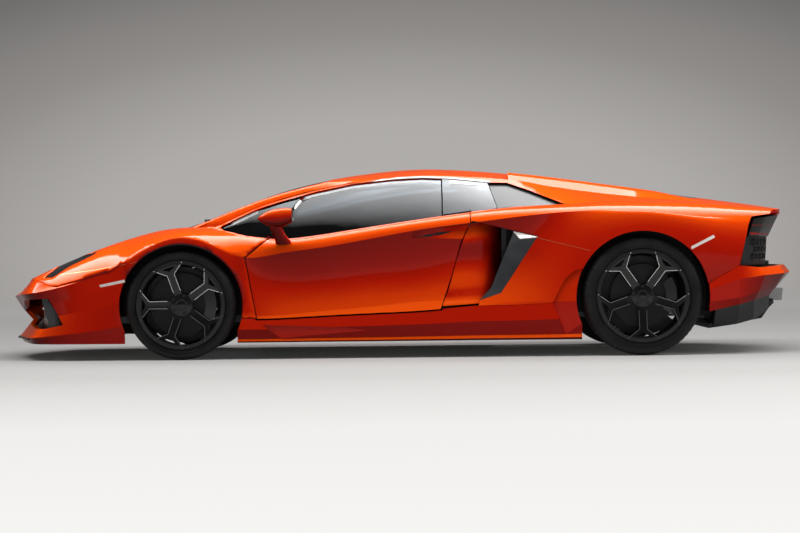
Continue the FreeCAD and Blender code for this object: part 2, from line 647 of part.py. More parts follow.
def build_bumpers():
    front = bumper(FRONT_BUMPER_ROWS, -1)
    mouth = prism_x(INTAKE_FACE, -2500, -1970).common(prism_y(INTAKE_SIDE, 0, 1200))
    strip_skin = top_wall(PANEL_THICKNESS).cut(nose_cutter(NOSE_FACE))
    strip_skin = strip_skin.common(nose_cutter(NOSE_STRIP))
    front = joined(front.cut(Part.Compound([mouth, mirrored(mouth)])), strip_skin)
    cuts = [arch(FRONT_AXLE_X, FRONT_TYRE_RADIUS, FRONT_ARCH_RADIUS)]
    marker = prism_y(grown(marker_outline(True), FIT_GAP), 700, 1200)
    front = front.cut(Part.Compound(cuts + [mirrored(cuts[0]), marker, mirrored(marker)]))
    front = front.cut(NODES["front_wings"])
    front = max(front.Solids, key=lambda part: part.Volume)
    keep("front_bumper", front)

    rear = bumper(REAR_BUMPER_ROWS, 1)
    cut = arch(REAR_AXLE_X, REAR_TYRE_RADIUS, REAR_ARCH_RADIUS)
    notch = box(2100, 2500, -EXHAUST_HALF_WIDTH - 8, EXHAUST_HALF_WIDTH + 8, 0, EXHAUST_TOP + 8)
    rear = rear.cut(Part.Compound([cut, mirrored(cut), notch])).cut(NODES["rear_wings"])
    keep("rear_bumper", max(rear.Solids, key=lambda part: part.Volume))

    sill_x = [-980, -700, -450, -150, 150, 450, 700, 950, 1110]
    rows = []
    for below, out in SILL_SECTION:
        rows.append([Vector(x, line_at("hem", x)[0] + out, line_at("hem", x)[1] * (1 - below) + SILL_FOOT_Z * below)
                     for x in sill_x])
    inside = [[Vector(p.x, SILL_INNER_Y, p.z) for p in row] for row in rows]
    sill = wall(rows, inside, [None] * (len(rows) - 1))
    under_door = [(-849, 0), (-849, 400), (248, 400), (248, 0)]
    door_foot = body_wall(["ledge", "hem"], PANEL_THICKNESS * 4, -20).common(prism_y(under_door, 700, 1200))
    door_foot.translate(Vector(0, 0, -SILL_GAP))
    facet = wedge(-820, [(946, 100), (946, 230), (1100, 230), (1100, 100)],
                  190, [(968, 100), (968, 230), (1100, 230), (1100, 100)]).common(prism_y(SILL_FACET, 800, 1100))
    room = FRONT_ARCH_RADIUS + LINER_GROWTH + 5
    inner_room = box(-1100, FRONT_AXLE_X + room, 400, 932, -50, FRONT_TYRE_RADIUS)
    sill = sill.cut(Part.Compound([
        arch(FRONT_AXLE_X, FRONT_TYRE_RADIUS, FRONT_ARCH_RADIUS), inner_room,
        arch(REAR_AXLE_X, REAR_TYRE_RADIUS, REAR_ARCH_RADIUS), door_foot, facet, rear_vent_cut()]))
    sill = sill.cut(NODES["front_wings"]).cut(NODES["rear_wings"])
    sill = max(sill.Solids, key=lambda part: part.Volume)
    keep("sills", both_sides(sill))


SILL_INNER_Y = 862.0
SILL_FOOT_Z = GROUND_CLEARANCE + 2
# Section of the sill: share of the way down from the lower crease, and how far out of it
SILL_SECTION = [(0.0, -2), (0.45, 4), (0.86, -12), (0.94, 3), (1.0, -12)]
# Upper rails of the rear subframe
RAIL_OUT = 344.0
RAIL_LOW = 470.0
RAIL_END_X = 2196.0
EXHAUST_HALF_WIDTH = 160.0
EXHAUST_TOP = 373.0
EXHAUST_LOW = 297.0


# Doors

# Channel under the shoulder that deepens towards the intake, as (y, z) where it starts and ends
CHANNEL_START = (75, [(1000, 742), (921, 742), (912, 720), (903, 700), (1000, 700)])
CHANNEL_END = (430, [(1000, 790), (866, 784), (872, 745), (894, 690), (1000, 690)])
# Behind the side window only the outer part of a door passes the fixed glass above it
THIN_DOOR_Y = 838.0


def door_hinge_bar(radius, start, end):
    """Round bar on the door's hinge line between two distances from the hinge point."""
    base = DOOR_HINGE + DOOR_HINGE_AXIS * start
    return Part.makeCylinder(radius, end - start, base, DOOR_HINGE_AXIS)


def build_doors():
    """Door bodies, their frameless glass, the mirrors and the fixed side glass."""
    flat_top = {"belt": Vector(0, -1, 0)}
    skin = body_wall(["belt", "shoulder", "ledge", "hem"], DOOR_THICKNESS, inwards=flat_top)
    raised = [(x, z + 40) for x, z in reversed(belt_heights(BELT_CUT_X))]
    outline = [(-775, 740)] + DOOR_FRONT + DOOR_REAR + [(413, 890)] + raised
    door = skin.common(prism_y(outline, 500, 1100))
    door = door.cut(box(B_POST_X - 9, 440, 500, THIN_DOOR_Y, 0, 1000))
    chamfer = prism_x([(700, 645), (807, 705), (807, 780), (700, 780)], -776, -590)
    corner = box(-780, -770, 700, 1000, 697, 780)
    foot = prism_x([(840, 190), (920, 190), (868, 285), (840, 285)], -900, 300)
    channel = wedge(CHANNEL_START[0], CHANNEL_START[1], CHANNEL_END[0], CHANNEL_END[1])
    door = door.cut(Part.Compound([chamfer, corner, foot])).cut(channel)
    lug = door_hinge_bar(DOOR_LUG_RADIUS, -56, -18)
    door = joined(door, lug).cut(door_hinge_bar(DOOR_PIN_RADIUS + RUNNING_GAP, -80, -17.5))

    pane_ways = {"belt": Vector(0, -1.4, 0), "rail": Vector(0, -0.8, -0.8)}
    pane = body_wall(["rail", "belt"], GLASS_THICKNESS, 2.0, inwards=pane_ways)
    top = [(x, z - WINDOW_TOP_GAP) for x, z in WINDOW_TOP if SAIL_TOP[0] < x < B_POST_X]
    glass_outline = [(-775, 690), (SAIL_TOP[0], SAIL_TOP[1] - WINDOW_TOP_GAP)] + top
    glass_outline += [(B_POST_X - 4, 1057 - WINDOW_TOP_GAP), (B_POST_X - 4, 790), (-450, 690)]
    glass = pane.common(prism_y(glass_outline, 300, 1100))

    head_side = [(-826, 818), (-800, 846), (-703, 889), (-630, 882), (-622, 830), (-628, 786), (-720, 790),
                 (-805, 806)]
    head_plan = [(-815, 905), (-832, 975), (-800, 1030), (-700, 1062), (-618, 1058), (-618, 893)]
    head = prism_y(head_side, 850, 1100).common(prism_z(head_plan, 600, 1000))
    stalk = prism_y([(-768, 806), (-768, 754), (-705, 655), (-628, 655), (-682, 745), (-682, 806)], 872, 926)
    mirror = joined(head, stalk).cut(door)
    mirror = max(mirror.Solids, key=lambda part: part.Volume)
    for side in SIDES:
        keep("door_" + side, on_side(door, side))
        keep("door_glass_" + side, on_side(glass, side))
        keep("mirror_" + side, on_side(mirror, side))

    seat = 0.9
    belt = belt_heights([-1045, -900, -787], -seat)
    sail_shape = [(-1050, 778)] + [(-842, 884 - seat), (-700, 929 - seat), (-577, 962)] + list(reversed(belt))
    sail_skin = body_wall(["rail", "belt"], GLASS_THICKNESS, SAIL_RECESS)
    sail = sail_skin.common(prism_y(sail_shape, 300, 1100))
    quarter_shape = [(B_POST_X + 4, 1055 - seat), (300, 1055 - seat), (528, 1031 - seat), (577, 872)]
    quarter_shape += list(reversed(belt_heights([B_POST_X + 4, 352, 425], -SHUT_GAP - 0.5)
                                   + belt_heights([426, 450, 576], -seat)))
    flush = body_wall(["rail", "belt"], GLASS_THICKNESS, 3.0)
    quarter = flush.common(prism_y(quarter_shape, 300, 1100))
    sail = sail.cut(NODES["front_wings"]).cut(NODES["rear_wings"])
    sail = max(sail.Solids, key=lambda part: part.Volume)
    keep("fixed_side_glass", Part.Compound([sail, mirrored(sail), quarter, mirrored(quarter)]))

    intake_shape = [(534, 1030 - seat), (645, 1027), (779, 978), (974, 893)]
    intake_shape += list(reversed(belt_heights([582, 700, 960], -seat)))
    sunk = body_wall(["rail", "belt"], 12, 16.0)
    keep("upper_intakes", both_sides(sunk.common(prism_y(intake_shape, 300, 1100))))


def build_scoops():
    """Painted scoops that lead from the doors into the side intakes, and the ducts behind them."""
    end_x, end_y = SCOOP_END
    steps = 5
    last = len(SCOOP_START) - 1
    grid = []
    for i, (x, y, z) in enumerate(SCOOP_START):
        bend = 2 + 2.5 * i / last
        row = []
        for k in range(steps + 1):
            t = k / steps
            row.append(Vector(x + (end_x - x) * t, y - (y - end_y) * t ** bend, z + 22 * t))
        grid.append(row)
    surface = Part.BSplineSurface()
    surface.interpolate(grid)
    scoop = surface.toShape().extrude(Vector(0, -SCOOP_THICKNESS, 0))
    if scoop.Volume < 0:
        scoop.reverse()
    scoop = scoop.cut(NODES["rear_wings"]).cut(NODES["sills"])
    scoop = max(scoop.Solids, key=lambda part: part.Volume)
    keep("side_scoops", both_sides(scoop))
    duct = prism_z([(TUB_END_X + FIT_GAP, 716), (TUB_END_X + FIT_GAP, 776), (1000, 722), (1000, 716)], 300, 770)
    keep("side_ducts", both_sides(duct))


# Lamps, intakes, tail and underside

# Plan lines of the tail's dark face, as (x, y) from the middle out, and the height of the lower two
TAIL_FACE = [
    [(2310, 0), (2298, 350), (2246, 640), (2150, 760), (2072, 834)],
    [(2246, 0), (2236, 350), (2184, 640), (2108, 775), (2036, 858)],
    [(2236, 0), (2226, 350), (2166, 640), (2084, 800), (2000, 890)]]
TAIL_FACE_Z = [690.0, 522.0]
TAIL_FACE_THICKNESS = 24.0
LAMP_DEPTH = 14.0
MESH_PITCH = 50.0
MESH_HOLE = 42.0
MESH_ROWS = 3
MESH_HALF_WIDTH = 810.0
# Sides of the diffuser, from the bumper's lower edge down to the edge of the tray
DIFFUSER_TOP = [(2205, 640, 338), (2085, 838, 312), (1985, 936, 292), (1842, 978, 262)]
DIFFUSER_EDGE = [(2205, 600, 264), (2085, 800, 201), (1985, 862, 177), (1842, 866, 158)]


def hexagon_prisms():
    """Hexagon holes of the rear mesh, in staggered rows between the lamps and the bumper."""
    reach = MESH_HOLE / 2 / math.cos(math.pi / 6)
    rise = MESH_PITCH * math.cos(math.pi / 6)
    middle = (TAIL_FACE_Z[0] + TAIL_FACE_Z[1]) / 2 + 6
    count = int(MESH_HALF_WIDTH / MESH_PITCH)
    holes = []
    for row in range(MESH_ROWS):
        z = middle + (row - (MESH_ROWS - 1) / 2) * rise
        shift = MESH_PITCH / 2 * (row % 2)
        for k in range(-count, count + 1 - row % 2):
            y = k * MESH_PITCH + shift
            corners = [(y + reach * math.sin(a * math.pi / 3), z + reach * math.cos(a * math.pi / 3))
                       for a in range(6)]
            holes.append(prism_x(corners, 1950, 2330))
    return Part.Compound(holes)


def build_tail_face():
    """Dark rear face with its hexagon mesh, and the lamp that sits on its upper part."""
    outer = []
    inner = []
    for k, row in enumerate(TAIL_FACE):
        half = [Vector(x, y, TAIL_FACE_Z[k - 1] if k else visor_z(x) - VISOR_EDGE - FIT_GAP) for x, y in row]
        back = [p + Vector(-TAIL_FACE_THICKNESS, -5 * i, 0) for i, p in enumerate(half)]
        outer.append([Vector(p.x, -p.y, p.z) for p in reversed(half[1:])] + half)
        inner.append([Vector(p.x, -p.y, p.z) for p in reversed(back[1:])] + back)
    face = faceted_wall(outer, inner).cut(NODES["tail_panel"]).cut(NODES["rear_wings"])
    face = max(face.Solids, key=lambda part: part.Volume)
    proud = Vector(LAMP_DEPTH, LAMP_DEPTH * 0.6, 0)
    band = faceted_wall([[p + proud for p in row[6:]] for row in outer[:2]],
                        [[p - proud for p in row[6:]] for row in outer[:2]])
    lamp = band.cut(face)
    lamp = max(lamp.Solids, key=lambda part: part.CenterOfMass.x)
    return face.cut(hexagon_prisms()), lamp

def build_details():
    lamp_skin = body_wall(["belt", "shoulder"], 24, 3.0)
    keep("headlamps", both_sides(lamp_skin.common(headlamp_prism(-FIT_GAP))))

    marker_skin = body_wall(["belt", "shoulder", "ledge", "hem"], 14, -1.0)
    rear_marker = marker_skin.common(prism_y(grown(marker_outline(False), -0.1), 700, 1200))
    bumper_skin = bumper(FRONT_BUMPER_ROWS, -1)
    front_marker = bumper_skin.common(prism_y(grown(marker_outline(True), -0.1), 700, 1200))
    keep("side_markers", Part.Compound([front_marker, mirrored(front_marker), rear_marker,
                                        mirrored(rear_marker)]))

    blade_skin = body_wall(["belt", "shoulder", "ledge", "hem"], 46, 8.0)
    blade = blade_skin.common(prism_y(grown(BLADE, -FIT_GAP), 600, 1200)).cut(NODES["side_scoops"])
    keep("side_blades", both_sides(max(blade.Solids, key=lambda part: part.Volume)))

    # Dark panel and grey vane inside each front intake
    back = prism_z([(-2150, 240), (-2120, 560), (-2060, 780), (-1990, 868), (-1990, 888), (-2010, 898),
                    (-2085, 790), (-2140, 570), (-2170, 240)], 170, 350)
    vane = prism_y([(-2110, 366), (-2082, 376), (-1986, 222), (-2008, 204), (-2062, 192)], 800, 872)
    vane = vane.cut(back)
    intake = joined(back, vane).cut(NODES["front_bumper"]).cut(NODES["front_wings"])
    intake = max(intake.Solids, key=lambda part: part.Volume)
    keep("front_intakes", both_sides(intake))

    grille, lamp = build_tail_face()
    keep("rear_grille", grille)
    keep("tail_lamps", both_sides(lamp))

    side = [(1812, 152), (1969, 173), (2109, 205), (2168, 232), (2242, 291), (2236, 316), (2156, 258),
            (2096, 231), (1962, 199), (1812, 178)]
    tray_plan = [(2250, 0), (2250, 560)] + [(x, y) for x, y, z in DIFFUSER_EDGE] + [(1700, 866)]
    tray = prism_y(side, -870, 870).common(prism_z(mirrored_plan(tray_plan), 0, 400))
    rims = [[Vector(x, y - 6, z - FIT_GAP) for x, y, z in DIFFUSER_TOP], [Vector(*p) for p in DIFFUSER_EDGE]]
    skirt = faceted_wall(rims, [[p + Vector(-6, -8, 0) for p in row] for row in rims])
    fins = []
    for y in (-560, -400, -240, 240, 400, 560):
        fin = prism_y([(1880, 150), (2168, 200), (2226, 282), (2150, 262), (1880, 190)], y - 6, y + 6)
        fins.append(fin)

    tip = [(-EXHAUST_HALF_WIDTH, EXHAUST_TOP), (-110, EXHAUST_LOW), (110, EXHAUST_LOW),
           (EXHAUST_HALF_WIDTH, EXHAUST_TOP)]
    bore = [(-EXHAUST_HALF_WIDTH + 16, EXHAUST_TOP - 8), (-104, EXHAUST_LOW + 8),
            (104, EXHAUST_LOW + 8), (EXHAUST_HALF_WIDTH - 16, EXHAUST_TOP - 8)]
    pipe = prism_x(tip, 2120, 2362).cut(prism_x(bore, 2140, 2400))
    silencer = prism_x([(-330, 330), (-290, 290), (290, 290), (330, 330), (330, 440), (-330, 440)],
                       1980, 2150)
    hangers = [box(2040, 2070, y, y + 44, 430, RAIL_LOW) for y in (-RAIL_OUT, RAIL_OUT - 44)]
    exhaust = joined(silencer, pipe, *hangers)
    keep("exhaust", exhaust)
    stays = [box(1852, 1882, y, y + 30, 170, 194) for y in (-300, 270)]
    diffuser = joined(tray, skirt, mirrored(skirt), *fins, *stays).cut(exhaust).cut(NODES["rear_bumper"])
    keep("diffuser", max(diffuser.Solids, key=lambda part: part.Volume))


# Carbon tub, subframes, engine and cabin

BULKHEAD_X = -893.0
BULKHEAD_THICKNESS = 28.0
REAR_BULKHEAD_X = 602.0
TUB_END_X = 630.0


def build_structure():
    edge = SILL_INNER_Y - FIT_GAP
    half = [(150, 330), (180, 128), (660, 128), (700, 316), (edge - 66, 316), (edge - 18, 205), (edge, 160),
            (edge, 104)]
    trough = prism_x([(-y, z) for y, z in reversed(half)] + half, BULKHEAD_X, TUB_END_X)
    front_wall = prism_x([(-800, 104), (-800, 560), (-772, 690), (772, 690), (800, 560), (800, 104)],
                         BULKHEAD_X, BULKHEAD_X + BULKHEAD_THICKNESS)
    rear_wall = prism_x([(-780, 104), (-780, 780), (-500, 1010), (500, 1010), (780, 780), (780, 104)],
                        REAR_BULKHEAD_X, TUB_END_X)
    plate = prism_y([(BULKHEAD_X, 590), (BULKHEAD_X, 690), (-790, 722), (-755, 712), (-755, 680), (-830, 590)],
                    738, 754)
    hinge = joined(plate, door_hinge_bar(DOOR_PIN_RADIUS, -80, -18))
    tub = joined(trough, front_wall, rear_wall, hinge, mirrored(hinge))
    keep("tub", tub)

    rail_in, rail_out = 300.0, RAIL_OUT
    parts = []
    for low, high in ((202, 238), (412, 446)):
        parts.append(box(-1660, BULKHEAD_X - FIT_GAP, rail_in, rail_out, low, high))
    parts.append(box(-2070, -1600, rail_in, rail_out, 202, 238))
    for x in (-1440, -1160, -1660):
        parts.append(box(x, x + 34, rail_in, rail_out, 202, 446))
        parts.append(box(x, x + 34, -rail_out, rail_out, 202, 238))
    half = joined(*parts)
    front = joined(half, mirrored(half), box(-2100, -2066, -560, 560, 190, 250))
    parts = []
    for low, high, end in ((212, 250, 1900), (RAIL_LOW, RAIL_LOW + 38, RAIL_END_X)):
        parts.append(box(TUB_END_X + FIT_GAP, end, RAIL_OUT - 40, RAIL_OUT, low, high))
    for x in (720, 1240, 1560, 1848):
        parts.append(box(x, x + 38, RAIL_OUT - 40, RAIL_OUT, 212, 508))
        parts.append(box(x, x + 38, -RAIL_OUT, RAIL_OUT, 194, 228))
    half = joined(*parts)
    beam = box(RAIL_END_X - 30, RAIL_END_X + 40, -420, 420, 500, 545).cut(NODES["rear_grille"])
    beam = min(beam.Solids, key=lambda part: part.CenterOfMass.x).cut(NODES["rear_bumper"])
    rear = joined(half, mirrored(half), beam)
    keep("subframes", Part.Compound([front, rear]))

    block = prism_x([(-200, 228.3), (200, 228.3), (296, 560), (240, 650), (-240, 650), (-296, 560)],
                    690, 1300)
    drive = prism_x([(-150, 228.3), (150, 228.3), (170, 420), (-170, 420)], 1299, 1600)
    keep("engine", joined(block, drive))


def build_cabin():
    dash = prism_y([(-864.7, 440), (-864.7, 700), (-800, 742), (-640, 716), (-590, 640), (-600, 560),
                    (-760, 440)], -735, 735)
    rim_centre = Vector(-482, -375, 638)
    axis = Vector(0.985, 0, 0.174)
    column = Part.makeCylinder(28, 150, rim_centre - axis * (22 + FIT_GAP + 150), axis)
    keep("dashboard", joined(dash, column))
    section = [(165 + 15 * math.cos(k * math.pi / 3), 15 * math.sin(k * math.pi / 3)) for k in range(6)]
    points = [rim_centre + Vector(0, r, 0) + axis * along for r, along in section]
    ring = Part.Face(Part.makePolygon(points + [points[0]])).revolve(rim_centre, axis, 360)
    hub = Part.makeCylinder(50, 30, rim_centre - axis * 22, axis)
    bars = []
    for angle in (0, 180, 270):
        bar = Part.makeBox(18, 150, 36, Vector(-14, 18, -18))
        bar.rotate(Vector(0, 0, 0), Vector(1, 0, 0), angle)
        bar.rotate(Vector(0, 0, 0), Vector(0, 1, 0), -10)
        bar.translate(rim_centre)
        bars.append(bar)
    keep("steering_wheel", joined(ring, hub, *bars))
    seat_side = [(-330, 128.3), (-360, 300), (-330, 330), (80, 250), (330, 850), (400, 860), (430, 820),
                 (250, 128.3)]
    seat = prism_y(seat_side, 190, 610)
    seat = seat.makeFillet(24, [e for e in seat.Edges if abs(e.tangentAt(e.FirstParameter).y) < 0.5
                                and e.BoundBox.ZMin > 135])
    keep("seats", both_sides(seat))


# Wheels and suspension

def revolved(profile, axle_x, axle_z):
    """Ring about a lateral axle from an (radius, y) outline."""
    points = [Vector(axle_x, y, axle_z + r) for r, y in profile]
    face = Part.Face(Part.makePolygon(points + [points[0]]))
    return face.revolve(Vector(axle_x, 0, axle_z), Vector(0, 1, 0), 360)


def tyre_profile(radius, rim_radius, width, middle_y):
    half = width / 2
    bead = half - 22
    side = [(rim_radius - 12, bead), (rim_radius + 2, bead), (rim_radius + 34, half), (radius, half - 38)]
    return [(r, middle_y - y) for r, y in side] + [(r, middle_y + y) for r, y in reversed(side)]


SPOKES = 5
SPOKE_TURN = {"front": 180.0, "rear": 90.0}


def make_rim(x, z, rim_radius, width, face_y, turn):
    """Barrel, hub and five forked spokes; face_y is the outer plane of the tyre."""
    middle = face_y - width / 2
    edge = width / 2 - 22 + 0.3
    seat = rim_radius - 12 - 0.2
    barrel = revolved([
        (seat, middle - edge), (rim_radius, middle - edge), (rim_radius, middle - edge - 8),
        (seat - 10, middle - edge - 8), (seat - 10, middle + edge + 8), (rim_radius, middle + edge + 8),
        (rim_radius, middle + edge), (seat, middle + edge)], x, z)
    reach = seat - 6
    envelope = revolved([
        (30, face_y - 70), (95, face_y - 62), (reach, face_y - 16), (reach, face_y - 42),
        (110, face_y - 92), (80, face_y - 104), (30, face_y - 104)], x, z)
    scale = reach / 243.0
    fork = [(40, 24), (186, 23), (240, 92), (240, -92), (186, -23), (40, -24)]
    slot = [(206, 0), (230, 44), (230, -44)]
    arms = []
    for i in range(SPOKES):
        angle = turn + i * 360.0 / SPOKES
        arm = prism_y([(r * scale, s * scale) for r, s in fork], face_y - 130, face_y)
        arm = arm.cut(prism_y([(r * scale, s * scale) for r, s in slot], face_y - 131, face_y + 1))
        arm.rotate(Vector(0, 0, 0), Vector(0, 1, 0), angle)
        arm.translate(Vector(x, 0, z))
        arms.append(arm.common(envelope))
    hub = revolved([(0.01, face_y - 58), (34, face_y - 58), (66, face_y - 66), (66, face_y - 104),
                    (0.01, face_y - 104)], x, z)
    return joined(barrel, hub, *arms)


def make_disc(x, z, face_y):
    """Brake disc with its bell and the stub axle."""
    return revolved([
        (0.01, face_y - 104.3), (74, face_y - 104.3), (74, face_y - 108), (186, face_y - 108),
        (186, face_y - 142), (80, face_y - 142), (80, face_y - 120), (30, face_y - 120),
        (30, face_y - 149), (0.01, face_y - 149)], x, z)


def make_caliper(x, z, face_y):
    """Caliper over the rear edge of a disc."""
    ring = revolved([(140, face_y - 166), (204, face_y - 166), (204, face_y - 88), (140, face_y - 88)],
                    x, z)
    slot = revolved([(100, face_y - 148), (193, face_y - 148), (193, face_y - 102),
                     (100, face_y - 102)], x, z)
    wedge = prism_y([(x, z), (x + 300, z - 190), (x + 300, z + 190)], face_y - 200, face_y)
    return ring.cut(slot).common(wedge)


def make_upright(x, z, face_y, pin_y, half_post):
    """Bearing housing, post and caliper bracket inside a wheel."""
    housing = cylinder_y(x, z, 46, pin_y - 26, face_y - 149 - RUNNING_GAP)
    post = cylinder_z(x, pin_y, 20, z - half_post, z + half_post)
    bracket = prism_y([(x, z - 30), (x, z + 30), (x + 165, z + 40), (x + 165, z - 40)],
                      pin_y - 12, face_y - 166 - FIT_GAP)
    return joined(housing, post, bracket)


def make_arm(x, z, eye_y, spread, hole):
    """Flat A-arm from the frame out to an eye."""
    inner = RAIL_OUT + FIT_GAP
    outer = [(x - spread, inner), (x + spread, inner), (x + 22, eye_y), (x - 22, eye_y)]
    window = [(x - spread + 42, inner + 42), (x + spread - 42, inner + 42), (x + 6, eye_y - 120),
              (x - 6, eye_y - 120)]
    low = z - ARM_THICKNESS / 2
    high = z + ARM_THICKNESS / 2
    arm = prism_z(outer, low, high).cut(prism_z(window, low - 1, high + 1))
    arm = joined(arm, cylinder_z(x, eye_y, 28, low, high))
    if hole:
        arm = arm.cut(cylinder_z(x, eye_y, hole, low - 1, high + 1))
    return arm


def build_wheels():
    corners = {
        "fl": ("left", "front"), "fr": ("right", "front"), "rl": ("left", "rear"), "rr": ("right", "rear")}
    sizes = {
        "front": (FRONT_AXLE_X, FRONT_TYRE_RADIUS, FRONT_RIM_RADIUS, FRONT_TYRE_WIDTH, FRONT_TRACK),
        "rear": (REAR_AXLE_X, REAR_TYRE_RADIUS, REAR_RIM_RADIUS, REAR_TYRE_WIDTH, REAR_TRACK)}
    made = {}
    for end, (x, radius, rim_radius, width, track) in sizes.items():
        face_y = track / 2 + width / 2
        made[end] = (
            revolved(tyre_profile(radius, rim_radius, width, track / 2), x, radius),
            make_rim(x, radius, rim_radius, width, face_y, SPOKE_TURN[end]),
            make_disc(x, radius, face_y),
            make_caliper(x, radius, face_y))
    for corner, (side, end) in corners.items():
        tyre, rim, disc, caliper = made[end]
        keep("tyre_" + corner, on_side(tyre, side))
        keep("rim_" + corner, on_side(rim, side))
        keep("disc_" + corner, on_side(disc, side))
    face_y = FRONT_TRACK / 2 + FRONT_TYRE_WIDTH / 2
    height = FRONT_TYRE_RADIUS
    upright = make_upright(FRONT_AXLE_X, height, face_y, KINGPIN_Y, 96)
    pin = cylinder_z(FRONT_AXLE_X, KINGPIN_Y, KINGPIN_RADIUS, height - 126, height + 126)
    knuckle = joined(upright, pin)
    arms = []
    for step in (-BALL_JOINT_HEIGHT, BALL_JOINT_HEIGHT):
        arms.append(make_arm(FRONT_AXLE_X, height + step, KINGPIN_Y, 150, KINGPIN_RADIUS + RUNNING_GAP))
    for side in SIDES:
        keep("knuckle_" + side, on_side(knuckle, side))
        keep("caliper_" + side, on_side(made["front"][3], side))
    face_y = REAR_TRACK / 2 + REAR_TYRE_WIDTH / 2
    height = REAR_TYRE_RADIUS
    rear_pin_y = face_y - 185
    upright = make_upright(REAR_AXLE_X, height, face_y, rear_pin_y, BALL_JOINT_HEIGHT - ARM_THICKNESS / 2)
    keep("rear_uprights", both_sides(upright))
    keep("rear_calipers", both_sides(made["rear"][3]))
    for step in (-BALL_JOINT_HEIGHT, BALL_JOINT_HEIGHT):
        arms.append(make_arm(REAR_AXLE_X, height + step, rear_pin_y, 150, 0))
    keep("wishbones", Part.Compound(arms + [mirrored(a) for a in arms]))

    liners = []
    for x, radius, lip, inner_y, outer_y in (
            (FRONT_AXLE_X, FRONT_TYRE_RADIUS, FRONT_ARCH_RADIUS, 558, 946),
            (REAR_AXLE_X, REAR_TYRE_RADIUS, REAR_ARCH_RADIUS, 656, 974)):
        inside = lip + LINER_GROWTH
        z = radius - ARCH_DROP
        ring = cylinder_y(x, z, inside + LINER_THICKNESS, inner_y, outer_y)
        ring = ring.cut(cylinder_y(x, z, inside, inner_y + LINER_THICKNESS, outer_y + 1))
        ring = ring.cut(cylinder_y(x, z, LINER_WINDOW_RADIUS, inner_y - 1, outer_y))
        ring = ring.cut(box(x - 500, x + 500, 0, 1200, -100, LINER_FOOT_Z))
        for name in ("front_wings", "rear_wings", "front_bumper", "rear_bumper", "sills", "tub",
                     "side_markers", "side_ducts", "front_intakes"):
            ring = ring.cut(NODES[name])
        liners.append(max(ring.Solids, key=lambda part: part.Volume))
    keep("liners", Part.Compound(liners + [mirrored(s) for s in liners]))


def main():
    os.makedirs("parts", exist_ok=True)
    build_flanks()
    build_top()
    build_bumpers()
    build_doors()
    build_scoops()
    build_details()
    build_structure()
    build_cabin()
    build_wheels()
    for name, shape in NODES.items():
        shape.exportStep("parts/" + name + ".step")
    print(len(NODES), "nodes")


main()
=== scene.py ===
import json
import math

import bmesh
import bpy
from mathutils import Matrix, Vector
from mathutils.bvhtree import BVHTree


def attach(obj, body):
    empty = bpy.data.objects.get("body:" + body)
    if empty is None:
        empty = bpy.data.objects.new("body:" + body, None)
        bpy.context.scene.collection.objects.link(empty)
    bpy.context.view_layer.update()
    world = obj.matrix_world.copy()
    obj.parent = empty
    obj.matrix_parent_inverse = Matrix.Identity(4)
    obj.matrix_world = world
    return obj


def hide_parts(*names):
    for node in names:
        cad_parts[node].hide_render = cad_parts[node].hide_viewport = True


# A two-seat sports car: finishes for the CAD nodes, and the tyres, shells, trim and seats that dress them.
# Metres, nose at -X, the car's left side at -Y, ground at Z 0.

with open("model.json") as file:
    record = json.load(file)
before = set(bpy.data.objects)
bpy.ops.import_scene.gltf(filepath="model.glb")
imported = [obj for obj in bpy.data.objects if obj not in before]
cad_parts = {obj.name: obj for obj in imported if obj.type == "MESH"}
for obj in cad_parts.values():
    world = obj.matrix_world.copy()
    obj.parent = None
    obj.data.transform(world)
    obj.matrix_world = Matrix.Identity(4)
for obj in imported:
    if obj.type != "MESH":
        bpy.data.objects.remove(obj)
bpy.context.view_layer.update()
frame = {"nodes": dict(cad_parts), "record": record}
NODES = frame["nodes"]
SIDES = {"left": -1, "right": 1}

# Photograph: 800 pixels across, seen square on from the car's left side
PHOTO_WIDTH = 800
FOCAL_PIXELS = 2403.6
SENSOR_WIDTH = 36.0
CAMERA_DISTANCE = 15.0
CAMERA_HEIGHT = 0.60
CAMERA_DOWN_DEGREES = 0.27
CAMERA_ROLL_DEGREES = 0.61
CAMERA_REACH = 200


def make_camera():
    """Camera where the photographer stood."""
    data = bpy.data.cameras.new("camera")
    data.sensor_width = SENSOR_WIDTH
    data.lens = FOCAL_PIXELS / PHOTO_WIDTH * SENSOR_WIDTH
    data.clip_end = CAMERA_REACH
    camera = bpy.data.objects.new("camera", data)
    bpy.context.scene.collection.objects.link(camera)
    look = Matrix.Rotation(math.radians(90 - CAMERA_DOWN_DEGREES), 4, "X")
    roll = Matrix.Rotation(math.radians(-CAMERA_ROLL_DEGREES), 4, "Z")
    camera.matrix_world = Matrix.Translation((0, -CAMERA_DISTANCE, CAMERA_HEIGHT)) @ look @ roll
    bpy.context.scene.camera = camera


# Materials

def linear(hex_colour):
    """Linear RGBA of an sRGB colour written as six hex digits."""
    values = [int(hex_colour[i:i + 2], 16) / 255 for i in (0, 2, 4)]
    return [v / 12.92 if v < 0.04045 else ((v + 0.055) / 1.055) ** 2.4 for v in values] + [1.0]


def add_node(tree, kind, settings=None, links=None):
    """A node of a kind with its attributes, input values or colour stops set and its inputs linked."""
    node = tree.nodes.new(kind)
    for key, value in (settings or {}).items():
        if key == "stops":
            elements = node.color_ramp.elements
            while len(elements) < len(value):
                elements.new(0.5)
            for element, (place, colour) in zip(elements, value):
                element.position = place
                element.color = linear(colour)
        elif isinstance(key, int) or key in node.inputs:
            node.inputs[key].default_value = value
        else:
            setattr(node, key, value)
    for key, source in (links or {}).items():
        tree.links.new(source, node.inputs[key])
    return node


